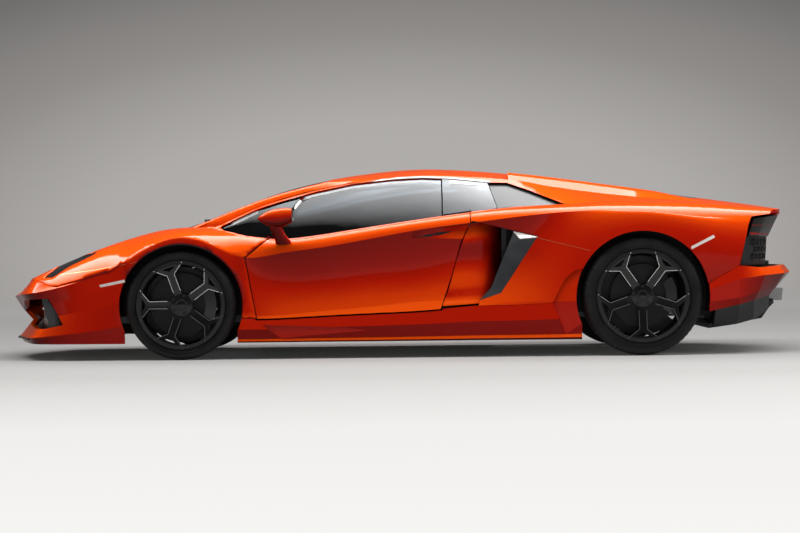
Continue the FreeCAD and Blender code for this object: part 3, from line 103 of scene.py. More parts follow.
def new_material(name):
    """Empty node material; returns the material, its tree and the input that takes its surface."""
    material = bpy.data.materials.new(name)
    material.use_nodes = True
    tree = material.node_tree
    tree.nodes.clear()
    output = tree.nodes.new("ShaderNodeOutputMaterial")
    return material, tree, output.inputs["Surface"]


def object_place(tree, per_metre):
    """Object coordinates of a pattern that repeats so many times in a metre."""
    coords = add_node(tree, "ShaderNodeTexCoord")
    mapping = add_node(tree, "ShaderNodeMapping", {"Scale": (per_metre, per_metre, per_metre)},
                       {"Vector": coords.outputs["Object"]})
    return mapping.outputs["Vector"]


# Inner faces of the panels look this far inwards, or this far down from above this height
INWARD_FACING = -0.3
DOWNWARD_FACING = -0.5
TOP_PANEL_HEIGHT = 0.6


def inner_face(tree):
    """One on faces that look towards the car's middle or down from its top panels, else zero."""
    coords = add_node(tree, "ShaderNodeTexCoord")
    place = add_node(tree, "ShaderNodeSeparateXYZ", None, {"Vector": coords.outputs["Object"]})
    facing = add_node(tree, "ShaderNodeSeparateXYZ", None, {"Vector": coords.outputs["Normal"]})
    side = add_node(tree, "ShaderNodeMath", {"operation": "SIGN"}, {0: place.outputs["Y"]})
    outward = add_node(tree, "ShaderNodeMath", {"operation": "MULTIPLY"},
                       {0: side.outputs[0], 1: facing.outputs["Y"]})
    inward = add_node(tree, "ShaderNodeMath", {"operation": "LESS_THAN", 1: INWARD_FACING},
                      {0: outward.outputs[0]})
    under = add_node(tree, "ShaderNodeMath", {"operation": "LESS_THAN", 1: DOWNWARD_FACING},
                     {0: facing.outputs["Z"]})
    high = add_node(tree, "ShaderNodeMath", {"operation": "GREATER_THAN", 1: TOP_PANEL_HEIGHT},
                    {0: place.outputs["Z"]})
    lining = add_node(tree, "ShaderNodeMath", {"operation": "MULTIPLY"},
                      {0: under.outputs[0], 1: high.outputs[0]})
    both = add_node(tree, "ShaderNodeMath", {"operation": "MAXIMUM"},
                    {0: inward.outputs[0], 1: lining.outputs[0]})
    return both.outputs[0]


# Painted shade and light: base tones from faces that look 30 degrees down, deep red, at 0, to those that look up,
# orange, at 1
PAINTED_SHADE_TONES = [(0.0, "5c0703"), (0.28, "a01004"), (0.40, "cc1e04"), (0.52, "e43c06"), (0.72, "e24a06"),
               (1.0, "cf4a08")]
# Real flakes are 0.05 mm across; drawn at 1 mm so that they show
FLAKES_PER_METRE = 900.0


def pearl_paint(name, lined=True):
    """Three-layer pearlescent orange, sprayed and polished, whose base colour carries painted shade and light: deep
    red on the flanks, orange where it faces up.

    Inner faces of lined panels carry their black trim."""
    material, tree, output = new_material(name)
    geometry = add_node(tree, "ShaderNodeNewGeometry")
    split = add_node(tree, "ShaderNodeSeparateXYZ", None, {"Vector": geometry.outputs["Normal"]})
    rise = add_node(tree, "ShaderNodeMapRange", {"From Min": -0.5, "From Max": 0.95},
                    {"Value": split.outputs["Z"]})
    # Painted shade and light: the base colour darkens on faces turned down and brightens on faces turned up
    painted_shade_ramp = add_node(tree, "ShaderNodeValToRGB", {"stops": PAINTED_SHADE_TONES}, {"Fac": rise.outputs["Result"]})
    flake = add_node(tree, "ShaderNodeTexVoronoi", {"Scale": 1.0, "Randomness": 1.0},
                     {"Vector": object_place(tree, FLAKES_PER_METRE)})
    glint = add_node(tree, "ShaderNodeMix", {"data_type": "RGBA", "blend_type": "OVERLAY", "Factor": 0.10},
                     {6: painted_shade_ramp.outputs["Color"], 7: flake.outputs["Color"]})
    coat = add_node(tree, "ShaderNodeBsdfPrincipled", {
        "Metallic": 0.28, "Roughness": 0.45, "Specular IOR Level": 0.0, "Specular Tint": linear("d23a08"),
        "Coat Weight": 0.5, "Coat Roughness": 0.06, "Coat IOR": 1.33}, {"Base Color": glint.outputs[2]})
    if not lined:
        tree.links.new(coat.outputs["BSDF"], output)
        return material
    trim = add_node(tree, "ShaderNodeBsdfPrincipled", {"Base Color": linear("131315"), "Roughness": 0.7})
    mix = add_node(tree, "ShaderNodeMixShader", None, {
        0: inner_face(tree), 1: coat.outputs["BSDF"], 2: trim.outputs["BSDF"]})
    tree.links.new(mix.outputs["Shader"], output)
    return material


# Unevenness of tone: clouds about 110 mm wide, so many steps of 255 below and above the colour
CLOUDS_PER_METRE = 9.0
TONE_BELOW = 10
TONE_ABOVE = 7


def plain(name, colour, roughness, metallic=0.0, coat=0.0, grain_mm=0.0, grain=0.0):
    """Moulded or painted surface with a slight unevenness of tone and, where asked, a grain."""
    material, tree, output = new_material(name)
    clouds = add_node(tree, "ShaderNodeTexNoise", {"Scale": 1.0, "Detail": 3.0},
                      {"Vector": object_place(tree, CLOUDS_PER_METRE)})
    parts = [int(colour[i:i + 2], 16) for i in (0, 2, 4)]
    dark = "".join("%02x" % max(part - TONE_BELOW, 0) for part in parts)
    light = "".join("%02x" % min(part + TONE_ABOVE, 255) for part in parts)
    tone = add_node(tree, "ShaderNodeValToRGB", {"stops": [(0.3, dark), (0.7, light)]},
                    {"Fac": clouds.outputs["Fac"]})
    links = {"Base Color": tone.outputs["Color"]}
    if grain_mm:
        grains = add_node(tree, "ShaderNodeTexNoise", {"Scale": 1.0, "Detail": 2.0},
                          {"Vector": object_place(tree, 1000.0 / grain_mm)})
        bump = add_node(tree, "ShaderNodeBump", {"Strength": grain, "Distance": grain_mm / 4000.0},
                        {"Height": grains.outputs["Fac"]})
        links["Normal"] = bump.outputs["Normal"]
    shader = add_node(tree, "ShaderNodeBsdfPrincipled",
                      {"Roughness": roughness, "Metallic": metallic, "Coat Weight": coat}, links)
    tree.links.new(shader.outputs["BSDF"], output)
    return material


def window_glass():
    """Tinted laminated glass: dark, clear enough to show the cabin, with a hard shine."""
    material, tree, output = new_material("tinted_laminated_glass")
    clear = add_node(tree, "ShaderNodeBsdfTransparent", {"Color": linear("80868a")})
    shine = add_node(tree, "ShaderNodeBsdfGlossy", {"Roughness": 0.03, "Color": linear("f4f6f8")})
    fresnel = add_node(tree, "ShaderNodeFresnel", {"IOR": 1.5})
    mix = add_node(tree, "ShaderNodeMixShader", None, {
        0: fresnel.outputs["Fac"], 1: clear.outputs["BSDF"], 2: shine.outputs["BSDF"]})
    tree.links.new(mix.outputs["Shader"], output)
    return material


def carbon_weave():
    """Carbon fibre cloth under clear resin: 4 mm tows of two greys under a soft gloss."""
    material, tree, output = new_material("carbon_fibre_twill")
    tows = add_node(tree, "ShaderNodeTexChecker", {
        "Scale": 1.0, "Color1": linear("1b1c1e"), "Color2": linear("0c0d0e")},
        {"Vector": object_place(tree, 250.0)})
    shader = add_node(tree, "ShaderNodeBsdfPrincipled", {"Roughness": 0.35, "Coat Weight": 0.5},
                      {"Base Color": tows.outputs["Color"]})
    tree.links.new(shader.outputs["BSDF"], output)
    return material


def turned_iron():
    """Grey cast iron turned on a lathe: a dull metal shine, broken up by marks drawn 3 mm wide so that they show."""
    material, tree, output = new_material("turned_cast_iron")
    marks = add_node(tree, "ShaderNodeTexNoise", {"Scale": 1.0, "Detail": 2.0},
                     {"Vector": object_place(tree, 300.0)})
    bump = add_node(tree, "ShaderNodeBump", {"Strength": 0.15, "Distance": 0.0005},
                    {"Height": marks.outputs["Fac"]})
    shader = add_node(tree, "ShaderNodeBsdfPrincipled",
                      {"Base Color": linear("2d2e30"), "Roughness": 0.42, "Metallic": 0.8},
                      {"Normal": bump.outputs["Normal"]})
    tree.links.new(shader.outputs["BSDF"], output)
    return material


# Grains are drawn at 1.5 to 4 mm, coarser than the real 0.2 to 1 mm, so that they show
PAINT = pearl_paint("pearl_orange_paint")
PAINT_ALL_OVER = pearl_paint("pearl_orange_paint_all_over", lined=False)
# Polished acrylic: a deep black that mirrors the studio
GLOSS_BLACK = plain("gloss_black_acrylic", "0c0c0e", 0.14, coat=0.5)
# Moulded with a fine grain: black with a wide, soft sheen
SATIN_BLACK = plain("satin_black_abs", "121315", 0.5, grain_mm=1.5, grain=0.25)
# Painted vanes: dark grey; the light grey is a painted highlight along the tops of the intake blades
VANE_GREY = plain("dark_grey_painted_abs", "34373a", 0.34, coat=0.2)
VANE_HIGHLIGHT = plain("painted_highlight_grey_abs", "a9a4a0", 0.3, coat=0.3)
GLASS = window_glass()
# Smoked lenses: nearly black until the light catches them
LAMP_RED = plain("red_smoked_acrylic_lens", "120404", 0.2, coat=0.1)
LAMP_CLEAR = plain("smoked_polycarbonate_lens", "0f1012", 0.08, coat=1.0)
# Frosted light guides: an even, milky colour
RED_STRIP = plain("red_light_guide", "a01010", 0.25, coat=0.5)
MARKER = plain("frosted_white_lens", "e8ded6", 0.35, coat=0.4)
# Brushed: pale metal with drawn-out highlights
STEEL = plain("brushed_stainless_steel", "b9babb", 0.28, metallic=1.0)
CARBON = carbon_weave()
# Sand cast: dull grey metal with a rough skin
CAST_ALUMINIUM = plain("cast_aluminium", "7d8083", 0.45, metallic=1.0, grain_mm=2.0, grain=0.3)
# Diamond turned: bright lines along the spokes
MACHINED = plain("diamond_turned_aluminium", "d4d5d6", 0.22, metallic=1.0)
CALIPER = plain("black_enamelled_caliper", "101012", 0.3, coat=0.5)
# Dyed and lightly polished hide: dark with a soft, grained sheen
LEATHER = plain("black_nappa_leather", "151517", 0.5, grain_mm=4.0, grain=0.5)
# Powder coat: black with small, soft highlights
RIM_BLACK = plain("black_painted_alloy", "050506", 0.3, coat=0.15)
TRIM_GREY = plain("satin_grey_window_trim", "7d7876", 0.35, coat=0.2)
# Painted highlight: a thin bright line along a panel's edge at its seam
EDGE_HIGHLIGHT = plain("painted_highlight_panel_edge", "e0784a", 0.3, metallic=0.6)
# Moulded rubber: matt and nearly black
RUBBER = plain("tyre_rubber", "101011", 0.72, grain_mm=2.0, grain=0.3)
DISC_IRON = turned_iron()
MIRROR_GLASS = plain("silvered_mirror_glass", "c9cdd0", 0.03, metallic=1.0)

FINISHES = {
    "orange_paint": PAINT, "gloss_black": GLOSS_BLACK, "tinted_glass": GLASS,
    "lamp_glass": LAMP_CLEAR, "lamp_red": LAMP_RED, "marker_white": MARKER,
    "black_plastic": SATIN_BLACK, "exhaust_steel": STEEL, "carbon": CARBON,
    "aluminium": CAST_ALUMINIUM, "caliper_paint": CALIPER, "leather": LEATHER,
    "rim_paint": RIM_BLACK, "rubber": RUBBER, "disc_iron": DISC_IRON,
}
OWN_FINISH = {
    "upper_intakes": SATIN_BLACK, "engine_cover": SATIN_BLACK, "side_blades": VANE_GREY,
    "front_intakes": VANE_GREY, "side_scoops": PAINT_ALL_OVER, "mirror_left": PAINT_ALL_OVER,
    "mirror_right": PAINT_ALL_OVER,
}


def finish_cad_nodes():
    """Gives every carried-over node the finish of its slot, or its own."""
    for part in frame["record"]["subparts"]:
        node = NODES[part["node"]]
        finish = OWN_FINISH.get(part["node"], FINISHES[part["material_slot"]])
        node.data.materials.clear()
        node.data.materials.append(finish)


# Ways to make a piece

MERGE_DISTANCE = 0.00002
# Degrees between faces past which an edge stays crisp, for trim, rounded shells, rails and pressed wings
TRIM_CREASE = 32
SHELL_CREASE = 48
RAIL_CREASE = 50
WING_CREASE = 58


def piece(name, shape, material, body, replaces=(), crease=TRIM_CREASE):
    """Turns a finished bmesh into a piece that rides on a body; edges past the crease angle stay crisp."""
    bmesh.ops.remove_doubles(shape, verts=shape.verts[:], dist=MERGE_DISTANCE)
    bmesh.ops.recalc_face_normals(shape, faces=shape.faces[:])
    mesh = bpy.data.meshes.new(name)
    for face in shape.faces:
        face.smooth = True
    shape.to_mesh(mesh)
    shape.free()
    mesh.set_sharp_from_angle(angle=math.radians(crease))
    mesh.materials.append(material)
    made = bpy.data.objects.new(name, mesh)
    bpy.context.scene.collection.objects.link(made)
    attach(made, body)
    if replaces:
        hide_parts(*replaces)
    return made


def spun(shape, profile, centre, steps):
    """Full turn of a closed profile of (radius, y) points about the Y line through centre (x, z)."""
    x, z = centre
    verts = [shape.verts.new((x, y, z + r)) for r, y in profile]
    edges = [shape.edges.new((a, b)) for a, b in zip(verts, verts[1:] + verts[:1])]
    bmesh.ops.spin(shape, geom=verts + edges, cent=(x, 0, z), axis=(0, 1, 0), dvec=(0, 0, 0),
                   angle=2 * math.pi, steps=steps, use_merge=True)


def bar(shape, points, section):
    """Bar of one four-cornered section carried through points, closed at both ends."""
    start = Vector(points[0])
    face = shape.faces.new([shape.verts.new(start + Vector(corner)) for corner in section])
    bmesh.ops.reverse_faces(shape, faces=[face])
    last = face
    for before, after in zip(points, points[1:]):
        grown = bmesh.ops.extrude_face_region(shape, geom=[last])["geom"]
        verts = [g for g in grown if isinstance(g, bmesh.types.BMVert)]
        bmesh.ops.translate(shape, verts=verts, vec=Vector(after) - Vector(before))
        if last is not face:
            bmesh.ops.delete(shape, geom=[last], context="FACES_ONLY")
        last = [g for g in grown if isinstance(g, bmesh.types.BMFace)][0]


def plate(shape, corners, thickness):
    """Flat many-cornered plate given a thickness behind its face."""
    face = shape.faces.new([shape.verts.new(c) for c in corners])
    face.normal_update()
    grown = bmesh.ops.extrude_face_region(shape, geom=[face])["geom"]
    verts = [g for g in grown if isinstance(g, bmesh.types.BMVert)]
    bmesh.ops.translate(shape, verts=verts, vec=-face.normal * thickness)


def lofted(shape, rings):
    """Closed form through rings of points of one count, capped at both ends."""
    loops = []
    for ring in rings:
        verts = [shape.verts.new(p) for p in ring]
        edges = [shape.edges.new((a, b)) for a, b in zip(verts, verts[1:] + verts[:1])]
        loops.append((verts, edges))
    for (_, before), (_, after) in zip(loops, loops[1:]):
        bmesh.ops.bridge_loops(shape, edges=before + after)
    for verts, _ in (loops[0], loops[-1]):
        shape.faces.new(verts)


def around(count):
    """Cosine and sine at each of the equal steps of a full turn."""
    turns = [2 * math.pi * step / count for step in range(count)]
    return [(math.cos(turn), math.sin(turn)) for turn in turns]


def squared_off(value, power):
    """A cosine or sine bent so that a round section gets flatter sides."""
    return math.copysign(abs(value) ** power, value)


def skin_of(names):
    """Search tree over the meshes of some nodes."""
    shape = bmesh.new()
    for name in names:
        shape.from_mesh(NODES[name].data)
    tree = BVHTree.FromBMesh(shape)
    shape.free()
    return tree


def height_on(skin, x, y):
    """Height of the topmost skin at a place, or None beside it."""
    hit = skin.ray_cast(Vector((x, y, 2.0)), Vector((0, 0, -1)))[0]
    return hit.z if hit else None


# Heights tried in turn where a line runs just past the edge of its panel
TRIED_HEIGHTS = (0, -0.004, 0.004, -0.008, 0.008, -0.014, 0.014, -0.022, -0.032, -0.045, -0.06)


def draped(shape, skin, upper, lower, lift, thickness, side):
    """Strip between two (x, z) lines laid on the flank of one side, lifted off it."""
    count = len(upper)
    grid = bmesh.ops.create_grid(shape, x_segments=count - 1, y_segments=1, size=1.0)["verts"]
    grid.sort(key=lambda v: (round(v.co.y, 3), v.co.x))
    way = SIDES[side]
    near = Vector((0, way * 0.6, 0))
    for i, vert in enumerate(grid):
        x, z = (lower if i < count else upper)[i % count]
        hit = None
        for drop in TRIED_HEIGHTS:
            hit = hit or skin.ray_cast(Vector((x, way * 2.0, z + drop)), Vector((0, -way, 0)))[0]
        near = hit or near
        vert.co = (x, near.y + way * lift, hit.z if hit else z)
    faces = list(dict.fromkeys(f for v in grid for f in v.link_faces))
    grown = bmesh.ops.extrude_face_region(shape, geom=faces)["geom"]
    verts = [g for g in grown if isinstance(g, bmesh.types.BMVert)]
    bmesh.ops.translate(shape, verts=verts, vec=(0, -way * thickness, 0))


def spread(line, step):
    """Points along an (x, z) line at most a step apart."""
    points = [line[0]]
    for (x0, z0), (x1, z1) in zip(line, line[1:]):
        parts = max(1, int(math.hypot(x1 - x0, z1 - z0) / step))
        points += [(x0 + (x1 - x0) * i / parts, z0 + (z1 - z0) * i / parts) for i in range(1, parts + 1)]
    return points


def raised(line, rise):
    """An (x, z) line moved up, or down where the rise is negative."""
    return [(x, z + rise) for x, z in line]


# Wheels: corner, axle x, axle height and tyre radius, rim radius, tyre width, middle y, angle of a spoke
WHEELS = [
    ("fl", -1.283, 0.322, 0.259, 0.255, -0.860, 180), ("fr", -1.283, 0.322, 0.259, 0.255, 0.860, 180),
    ("rl", 1.417, 0.348, 0.271, 0.330, -0.845, 90), ("rr", 1.417, 0.348, 0.271, 0.330, 0.845, 90)]

# Tyre section from bead to tread: points out from the rim radius, then in from the tyre radius,
# each with its distance in from the side
BEAD_AND_WALL = [(-0.0118, 0.022), (0.004, 0.022), (0.008, 0.012), (0.013, 0.006), (0.019, 0.0005),
                 (0.024, 0.004), (0.030, 0.002)]
SHOULDER = [(0.030, 0.003), (0.026, 0.0055), (0.019, 0.010), (0.011, 0.017), (0.0045, 0.029)]
# Tread grooves, at shares of the half width inside the shoulder: points in from the tyre radius and
# out from the groove's middle
GROOVE_SHARES = (0.62, 0.24)
SHOULDER_WIDTH = 0.03
GROOVE = [(0.0008, 0.006), (0.008, 0.005), (0.008, -0.005), (0.0, -0.006)]
GROOVE_DEPTH = 0.008
# Blocks round the shoulder: one step in three is cut down
TREAD_BLOCKS = 64
BLOCK_STEPS = 3
BLOCK_CUT = 0.006


def make_tyre(corner, x, z, rim_radius, width, middle):
    """Tyre with a rounded shoulder, ribbed sidewalls, four tread grooves and cut shoulder blocks."""
    half = width / 2
    near = [(rim_radius + out, half - inset) for out, inset in BEAD_AND_WALL]
    near += [(z - deep, half - inset) for deep, inset in SHOULDER]
    for share in GROOVE_SHARES:
        y = (half - SHOULDER_WIDTH) * share
        near += [(z - deep, y + out) for deep, out in GROOVE]
    profile = [(r, middle + y) for r, y in near] + [(r, middle - y) for r, y in reversed(near)]
    shape = bmesh.new()
    spun(shape, profile, (x, z), TREAD_BLOCKS * BLOCK_STEPS)
    for vert in shape.verts:
        out = math.hypot(vert.co.x - x, vert.co.z - z)
        in_groove = abs(out - z + GROOVE_DEPTH) <= 0.0015
        if out > z - 0.012 and abs(vert.co.y - middle) > half - 0.05 and not in_groove:
            turn = math.atan2(vert.co.z - z, vert.co.x - x) / (2 * math.pi) * TREAD_BLOCKS
            if round(turn * BLOCK_STEPS) % BLOCK_STEPS == 0:
                cut = 1 - BLOCK_CUT / out
                vert.co.x = x + (vert.co.x - x) * cut
                vert.co.z = z + (vert.co.z - z) * cut
    piece("tyre_tread_" + corner, shape, RUBBER, "wheel_" + corner, ["tyre_" + corner])


# Dished face of the wheel: radius and depth behind the tyre's side, at the cap, the hub and the rim
DISH_CAP = (0.030, -0.070)
DISH_HUB = (0.095, -0.062)
DISH_RIM_DEPTH = -0.016
RIM_BORDER = 0.0182
# One edge of a fork, along and across its spoke, where the face reaches out to this radius
FORK_EDGE = [(0.082, 0.0235), (0.186, 0.0225), (0.2375, 0.0895)]
FORK_REACH = 0.243
EDGE_WIDTH = 0.0032
EDGE_LIFT = 0.0008
EDGE_DEPTH = 0.004
SPOKES = 5
BOLT_CIRCLE = 0.056
BOLT_RADIUS = 0.011
BOLT_TOP_RADIUS = 0.009
BOLT_LENGTH = 0.022
BOLT_BEVEL = 0.001
# Bare centre cap: radius, and depth in from its top
CAP = [(0.0002, 0.0), (0.020, -0.001), (0.0245, -0.004), (0.026, -0.012), (0.0002, -0.012)]
CAP_TOP = 0.054


def make_rim_details(corner, x, z, rim_radius, width, middle, turn):
    """Machined edges along the forks, five bolts and a bare cap."""
    way = math.copysign(1, middle)
    face = abs(middle) + width / 2
    reach = rim_radius - RIM_BORDER
    scale = reach / FORK_REACH

    def on_face(along, across, angle, lift):
        """Point of the dished face, at a place along and across a spoke."""
        a = math.radians(angle)
        r = math.hypot(along, across)
        inner, outer = (DISH_HUB, (reach, DISH_RIM_DEPTH)) if r > DISH_HUB[0] else (DISH_CAP, DISH_HUB)
        depth = inner[1] + (r - inner[0]) * (outer[1] - inner[1]) / (outer[0] - inner[0])
        return Vector((x + along * math.cos(a) + across * math.sin(a), way * (face + depth + lift),
                       z - along * math.sin(a) + across * math.cos(a)))

    shape = bmesh.new()
    for spoke in range(SPOKES):
        angle = turn + spoke * 360 / SPOKES
        for flip in (1, -1):
            for (r0, s0), (r1, s1) in zip(FORK_EDGE, FORK_EDGE[1:]):
                long = math.hypot(r1 - r0, s1 - s0)
                nr, ns = -(s1 - s0) / long * EDGE_WIDTH, (r1 - r0) / long * EDGE_WIDTH
                corners = [(r0, s0), (r1, s1), (r1 - nr, s1 - ns), (r0 - nr, s0 - ns)]
                ring = [on_face(r * scale, flip * s * scale, angle, EDGE_LIFT) for r, s in corners]
                plate(shape, ring if flip * way < 0 else ring[::-1], EDGE_DEPTH)
    piece("rim_edges_" + corner, shape, MACHINED, "wheel_" + corner)

    shape = bmesh.new()
    for bolt in range(SPOKES):
        at = on_face(BOLT_CIRCLE, 0, turn + (bolt + 0.5) * 360 / SPOKES, 0)
        place = Matrix.Translation(at) @ Matrix.Rotation(math.pi / 2 * way, 4, "X")
        made = bmesh.ops.create_cone(shape, cap_ends=True, segments=6, radius1=BOLT_RADIUS, radius2=BOLT_TOP_RADIUS,
                                     depth=BOLT_LENGTH, matrix=place)
        edges = list(dict.fromkeys(e for v in made["verts"] for e in v.link_edges))
        bmesh.ops.bevel(shape, geom=edges, offset=BOLT_BEVEL, affect="EDGES", segments=1, profile=0.5,
                        material=-1)
    spun(shape, [(r, way * (face - CAP_TOP + y)) for r, y in CAP], (x, z), 32)
    piece("rim_bolts_" + corner, shape, RIM_BLACK, "wheel_" + corner)


# Dust shield: inner radius, gap to the rim, lip and sheet, place behind the tyre's side, and its open sector
SHIELD_INNER = 0.100
SHIELD_RIM_GAP = 0.036
SHIELD_LIP = 0.006
SHIELD_LIP_SHEET = 0.003
SHIELD_SHEET = 0.0025
SHIELD_DEPTH = 0.150
SHIELD_START_DEGREES = 38
SHIELD_SWEEP_DEGREES = 284


def make_brake_shield(corner, x, z, rim_radius, width, middle):
    """Pressed steel dust shield behind the disc, open where the caliper reaches through."""
    way = math.copysign(1, middle)
    depth = way * (abs(middle) + width / 2 - SHIELD_DEPTH)
    edge = rim_radius - SHIELD_RIM_GAP
    profile = [(SHIELD_INNER, 0.0), (edge, 0.0), (edge, -SHIELD_LIP), (edge - SHIELD_LIP_SHEET, -SHIELD_LIP),
               (edge - SHIELD_LIP_SHEET, -SHIELD_SHEET), (SHIELD_INNER, -SHIELD_SHEET)]
    start = math.radians(SHIELD_START_DEGREES)
    shape = bmesh.new()
    first = shape.faces.new([shape.verts.new((x + r * math.cos(start), depth + way * y, z - r * math.sin(start)))
                             for r, y in profile])
    bmesh.ops.spin(shape, geom=[first], cent=(x, 0, z), axis=(0, 1, 0), dvec=(0, 0, 0),
                   angle=math.radians(SHIELD_SWEEP_DEGREES), steps=48)
    body = {"fl": "knuckle_left", "fr": "knuckle_right"}.get(corner, "body")
    piece("brake_shield_" + corner, shape, SATIN_BLACK, body)


def make_wheels():
    """Tyres, rim details and brake shields at the four corners."""
    for corner, x, z, rim_radius, width, middle, turn in WHEELS:
        make_tyre(corner, x, z, rim_radius, width, middle)
        make_rim_details(corner, x, z, rim_radius, width, middle, turn)
        make_brake_shield(corner, x, z, rim_radius, width, middle)


# Painted panels

def make_smooth_wings():
    """Front wings with the shading of one pressed panel, rolled round the wheel arch."""
    shape = bmesh.new()
    shape.from_mesh(NODES["front_wings"].data)
    piece("front_wing_panels", shape, PAINT, "body", ["front_wings"],
          crease=WING_CREASE)


# Windscreen pillar: x, y and z of its crest, y and z of its foot
PILLAR = [(-1.240, 0.745, 0.775, 0.752, 0.770), (-1.117, 0.705, 0.824, 0.742, 0.769),
          (-1.012, 0.675, 0.869, 0.713, 0.812), (-0.850, 0.640, 0.931, 0.674, 0.886),
          (-0.705, 0.600, 0.978, 0.634, 0.943), (-0.561, 0.575, 1.016, 0.608, 0.983),
          (-0.430, 0.550, 1.047, 0.592, 1.011), (-0.300, 0.535, 1.058, 0.580, 1.036),
          (-0.100, 0.520, 1.066, 0.570, 1.052)]
PILLAR_WIDTH = 0.10


def make_pillars():
    """Painted pillars that frame the windscreen and run on into the roof rails."""
    tops = skin_of(["windscreen", "roof", "cowl", "front_wings"])
    for side, way in SIDES.items():
        rings = []
        for x, crest_y, crest_z, foot_y, foot_z in PILLAR:
            inner_y = crest_y - PILLAR_WIDTH
            inner_z = height_on(tops, x, way * inner_y) + 0.001
            section = [(foot_y, foot_z), (crest_y + 0.024, crest_z - 0.013), (crest_y + 0.010, crest_z - 0.003),
                       (crest_y - 0.006, crest_z), (inner_y + 0.03, max(inner_z, crest_z - 0.02)),
                       (inner_y, inner_z), (inner_y, inner_z - 0.01), (foot_y - 0.02, foot_z - 0.004)]
            rings.append([(x, way * y, z) for y, z in section])
        shape = bmesh.new()
        lofted(shape, rings)
        piece("screen_pillar_" + side, shape, PAINT_ALL_OVER, "body", crease=RAIL_CREASE)


# Shoulder beside the engine cover: x and height of its crest, and its y lines from outside to inside
DECK_RAIL = [(0.655, 1.092), (0.850, 1.069), (1.080, 1.038), (1.310, 1.005), (1.540, 0.972), (1.840, 0.905)]
RAIL_OUTER, RAIL_SLOPE, RAIL_CREST, RAIL_EDGE, RAIL_INNER = 0.565, 0.510, 0.482, 0.462, 0.457


def make_deck_rails():
    """Painted shoulders that flank the engine cover."""
    tops = skin_of(["roof", "rear_deck", "rear_wings", "tail_panel"])
    for side, way in SIDES.items():
        rings = []
        for x, crest_z in DECK_RAIL:
            outer, inner = [height_on(tops, x, way * y) or crest_z - 0.04 for y in (RAIL_OUTER, RAIL_INNER)]
            inner = min(inner, outer + 0.03)
            crest = max(crest_z, outer + 0.002)
            section = [(RAIL_OUTER, outer - 0.001), (RAIL_SLOPE, outer * 0.35 + crest * 0.65), (RAIL_CREST, crest),
                       (RAIL_EDGE, crest - 0.004), (RAIL_INNER, crest - 0.012), (RAIL_INNER, inner - 0.01),
                       (RAIL_OUTER, outer - 0.01)]
            rings.append([(x, way * y, z) for y, z in section])
        shape = bmesh.new()
        lofted(shape, rings)
        piece("deck_rail_" + side, shape, PAINT_ALL_OVER, "body", crease=RAIL_CREASE)


# Mirrors: sections of the head from front to back (x, z, half height, y, half breadth) and of the stalk
# from top to bottom (z, x, half depth, y, half breadth)
MIRROR_HEAD = [(-0.825, 0.820, 0.006, 0.985, 0.010), (-0.808, 0.820, 0.020, 0.985, 0.030),
               (-0.775, 0.821, 0.040, 0.984, 0.052), (-0.730, 0.823, 0.053, 0.982, 0.068),
               (-0.680, 0.827, 0.056, 0.980, 0.076), (-0.645, 0.834, 0.049, 0.979, 0.077),
               (-0.628, 0.838, 0.042, 0.979, 0.074)]
MIRROR_STALK = [(0.805, -0.728, 0.036, 0.962, 0.020), (0.765, -0.722, 0.034, 0.950, 0.016),
                (0.725, -0.704, 0.037, 0.932, 0.016), (0.690, -0.684, 0.046, 0.910, 0.020),
                (0.668, -0.676, 0.052, 0.896, 0.022)]
MIRROR_GLASS_OUTLINE = [(-0.6225, 0.912, 0.798), (-0.6195, 1.040, 0.806), (-0.6185, 1.046, 0.846),
                        (-0.6235, 1.036, 0.872), (-0.6260, 0.925, 0.874)]
MIRROR_GLASS_THICKNESS = 0.003


def make_mirrors():
    """Mirror shells like a wedge with rounded edges, each on a slanted stalk."""
    for side, way in SIDES.items():
        shape = bmesh.new()
        lofted(shape, [[(x, way * (y + broad * squared_off(across, 0.6)), z + tall * squared_off(up, 0.7))
                        for across, up in around(20)] for x, z, tall, y, broad in MIRROR_HEAD])
        piece("mirror_shell_" + side, shape, PAINT_ALL_OVER, "door_" + side,
              ["mirror_" + side], crease=SHELL_CREASE)
        shape = bmesh.new()
        lofted(shape, [[(x + deep * along, way * (y + broad * across), z) for along, across in around(12)]
                       for z, x, deep, y, broad in MIRROR_STALK])
        piece("mirror_stalk_" + side, shape, PAINT_ALL_OVER, "door_" + side,
              crease=SHELL_CREASE)


def mirrored_plate(shape, outline, way, thickness):
    """Plate from an outline given for the right side, turned over for the left."""
    corners = [(x, way * y, z) for x, y, z in outline]
    plate(shape, corners if way > 0 else corners[::-1], thickness)


def make_mirror_glasses():
    """Silvered glass on the back of each mirror head."""
    for side, way in SIDES.items():
        shape = bmesh.new()
        mirrored_plate(shape, MIRROR_GLASS_OUTLINE, way, MIRROR_GLASS_THICKNESS)
        piece("mirror_glass_" + side, shape, MIRROR_GLASS, "door_" + side)


# Trim

WINDOW_TOP = [(-1.062, 0.779), (-0.842, 0.884), (-0.696, 0.930), (-0.502, 0.983), (-0.273, 1.030),
              (-0.043, 1.055), (0.140, 1.062), (0.300, 1.055), (0.545, 1.030)]
BLADE_TOP = [(0.664, 0.926, 0.733), (0.700, 0.990, 0.690), (0.804, 0.986, 0.698)]
DOOR_SLOT_TOP = [(0.105, 0.709), (0.170, 0.722), (0.240, 0.733), (0.300, 0.738)]
DOOR_SLOT_FOOT = [(0.105, 0.706), (0.170, 0.706), (0.240, 0.717), (0.300, 0.733)]
BUMPER_SEAM = [(-2.035, 0.502), (-1.799, 0.530), (-1.534, 0.5755)]
WING_SEAM = [(0.815, 0.690), (0.960, 0.654), (1.112, 0.614)]
SEAM_HALF_WIDTH = 0.0014
# Trim strips: how far each stands off its panel, and its thickness
WINDOW_TRIM_LIFT, WINDOW_TRIM_SHEET = 0.0015, 0.002
GLASS_EDGE_LIFT, GLASS_EDGE_SHEET = 0.0012, 0.001
DOOR_SLOT_LIFT, DOOR_SLOT_SHEET = 0.0008, 0.002
SEAM_LIFT, SEAM_SHEET = 0.0012, 0.003
BLADE_TOP_THICKNESS = 0.006


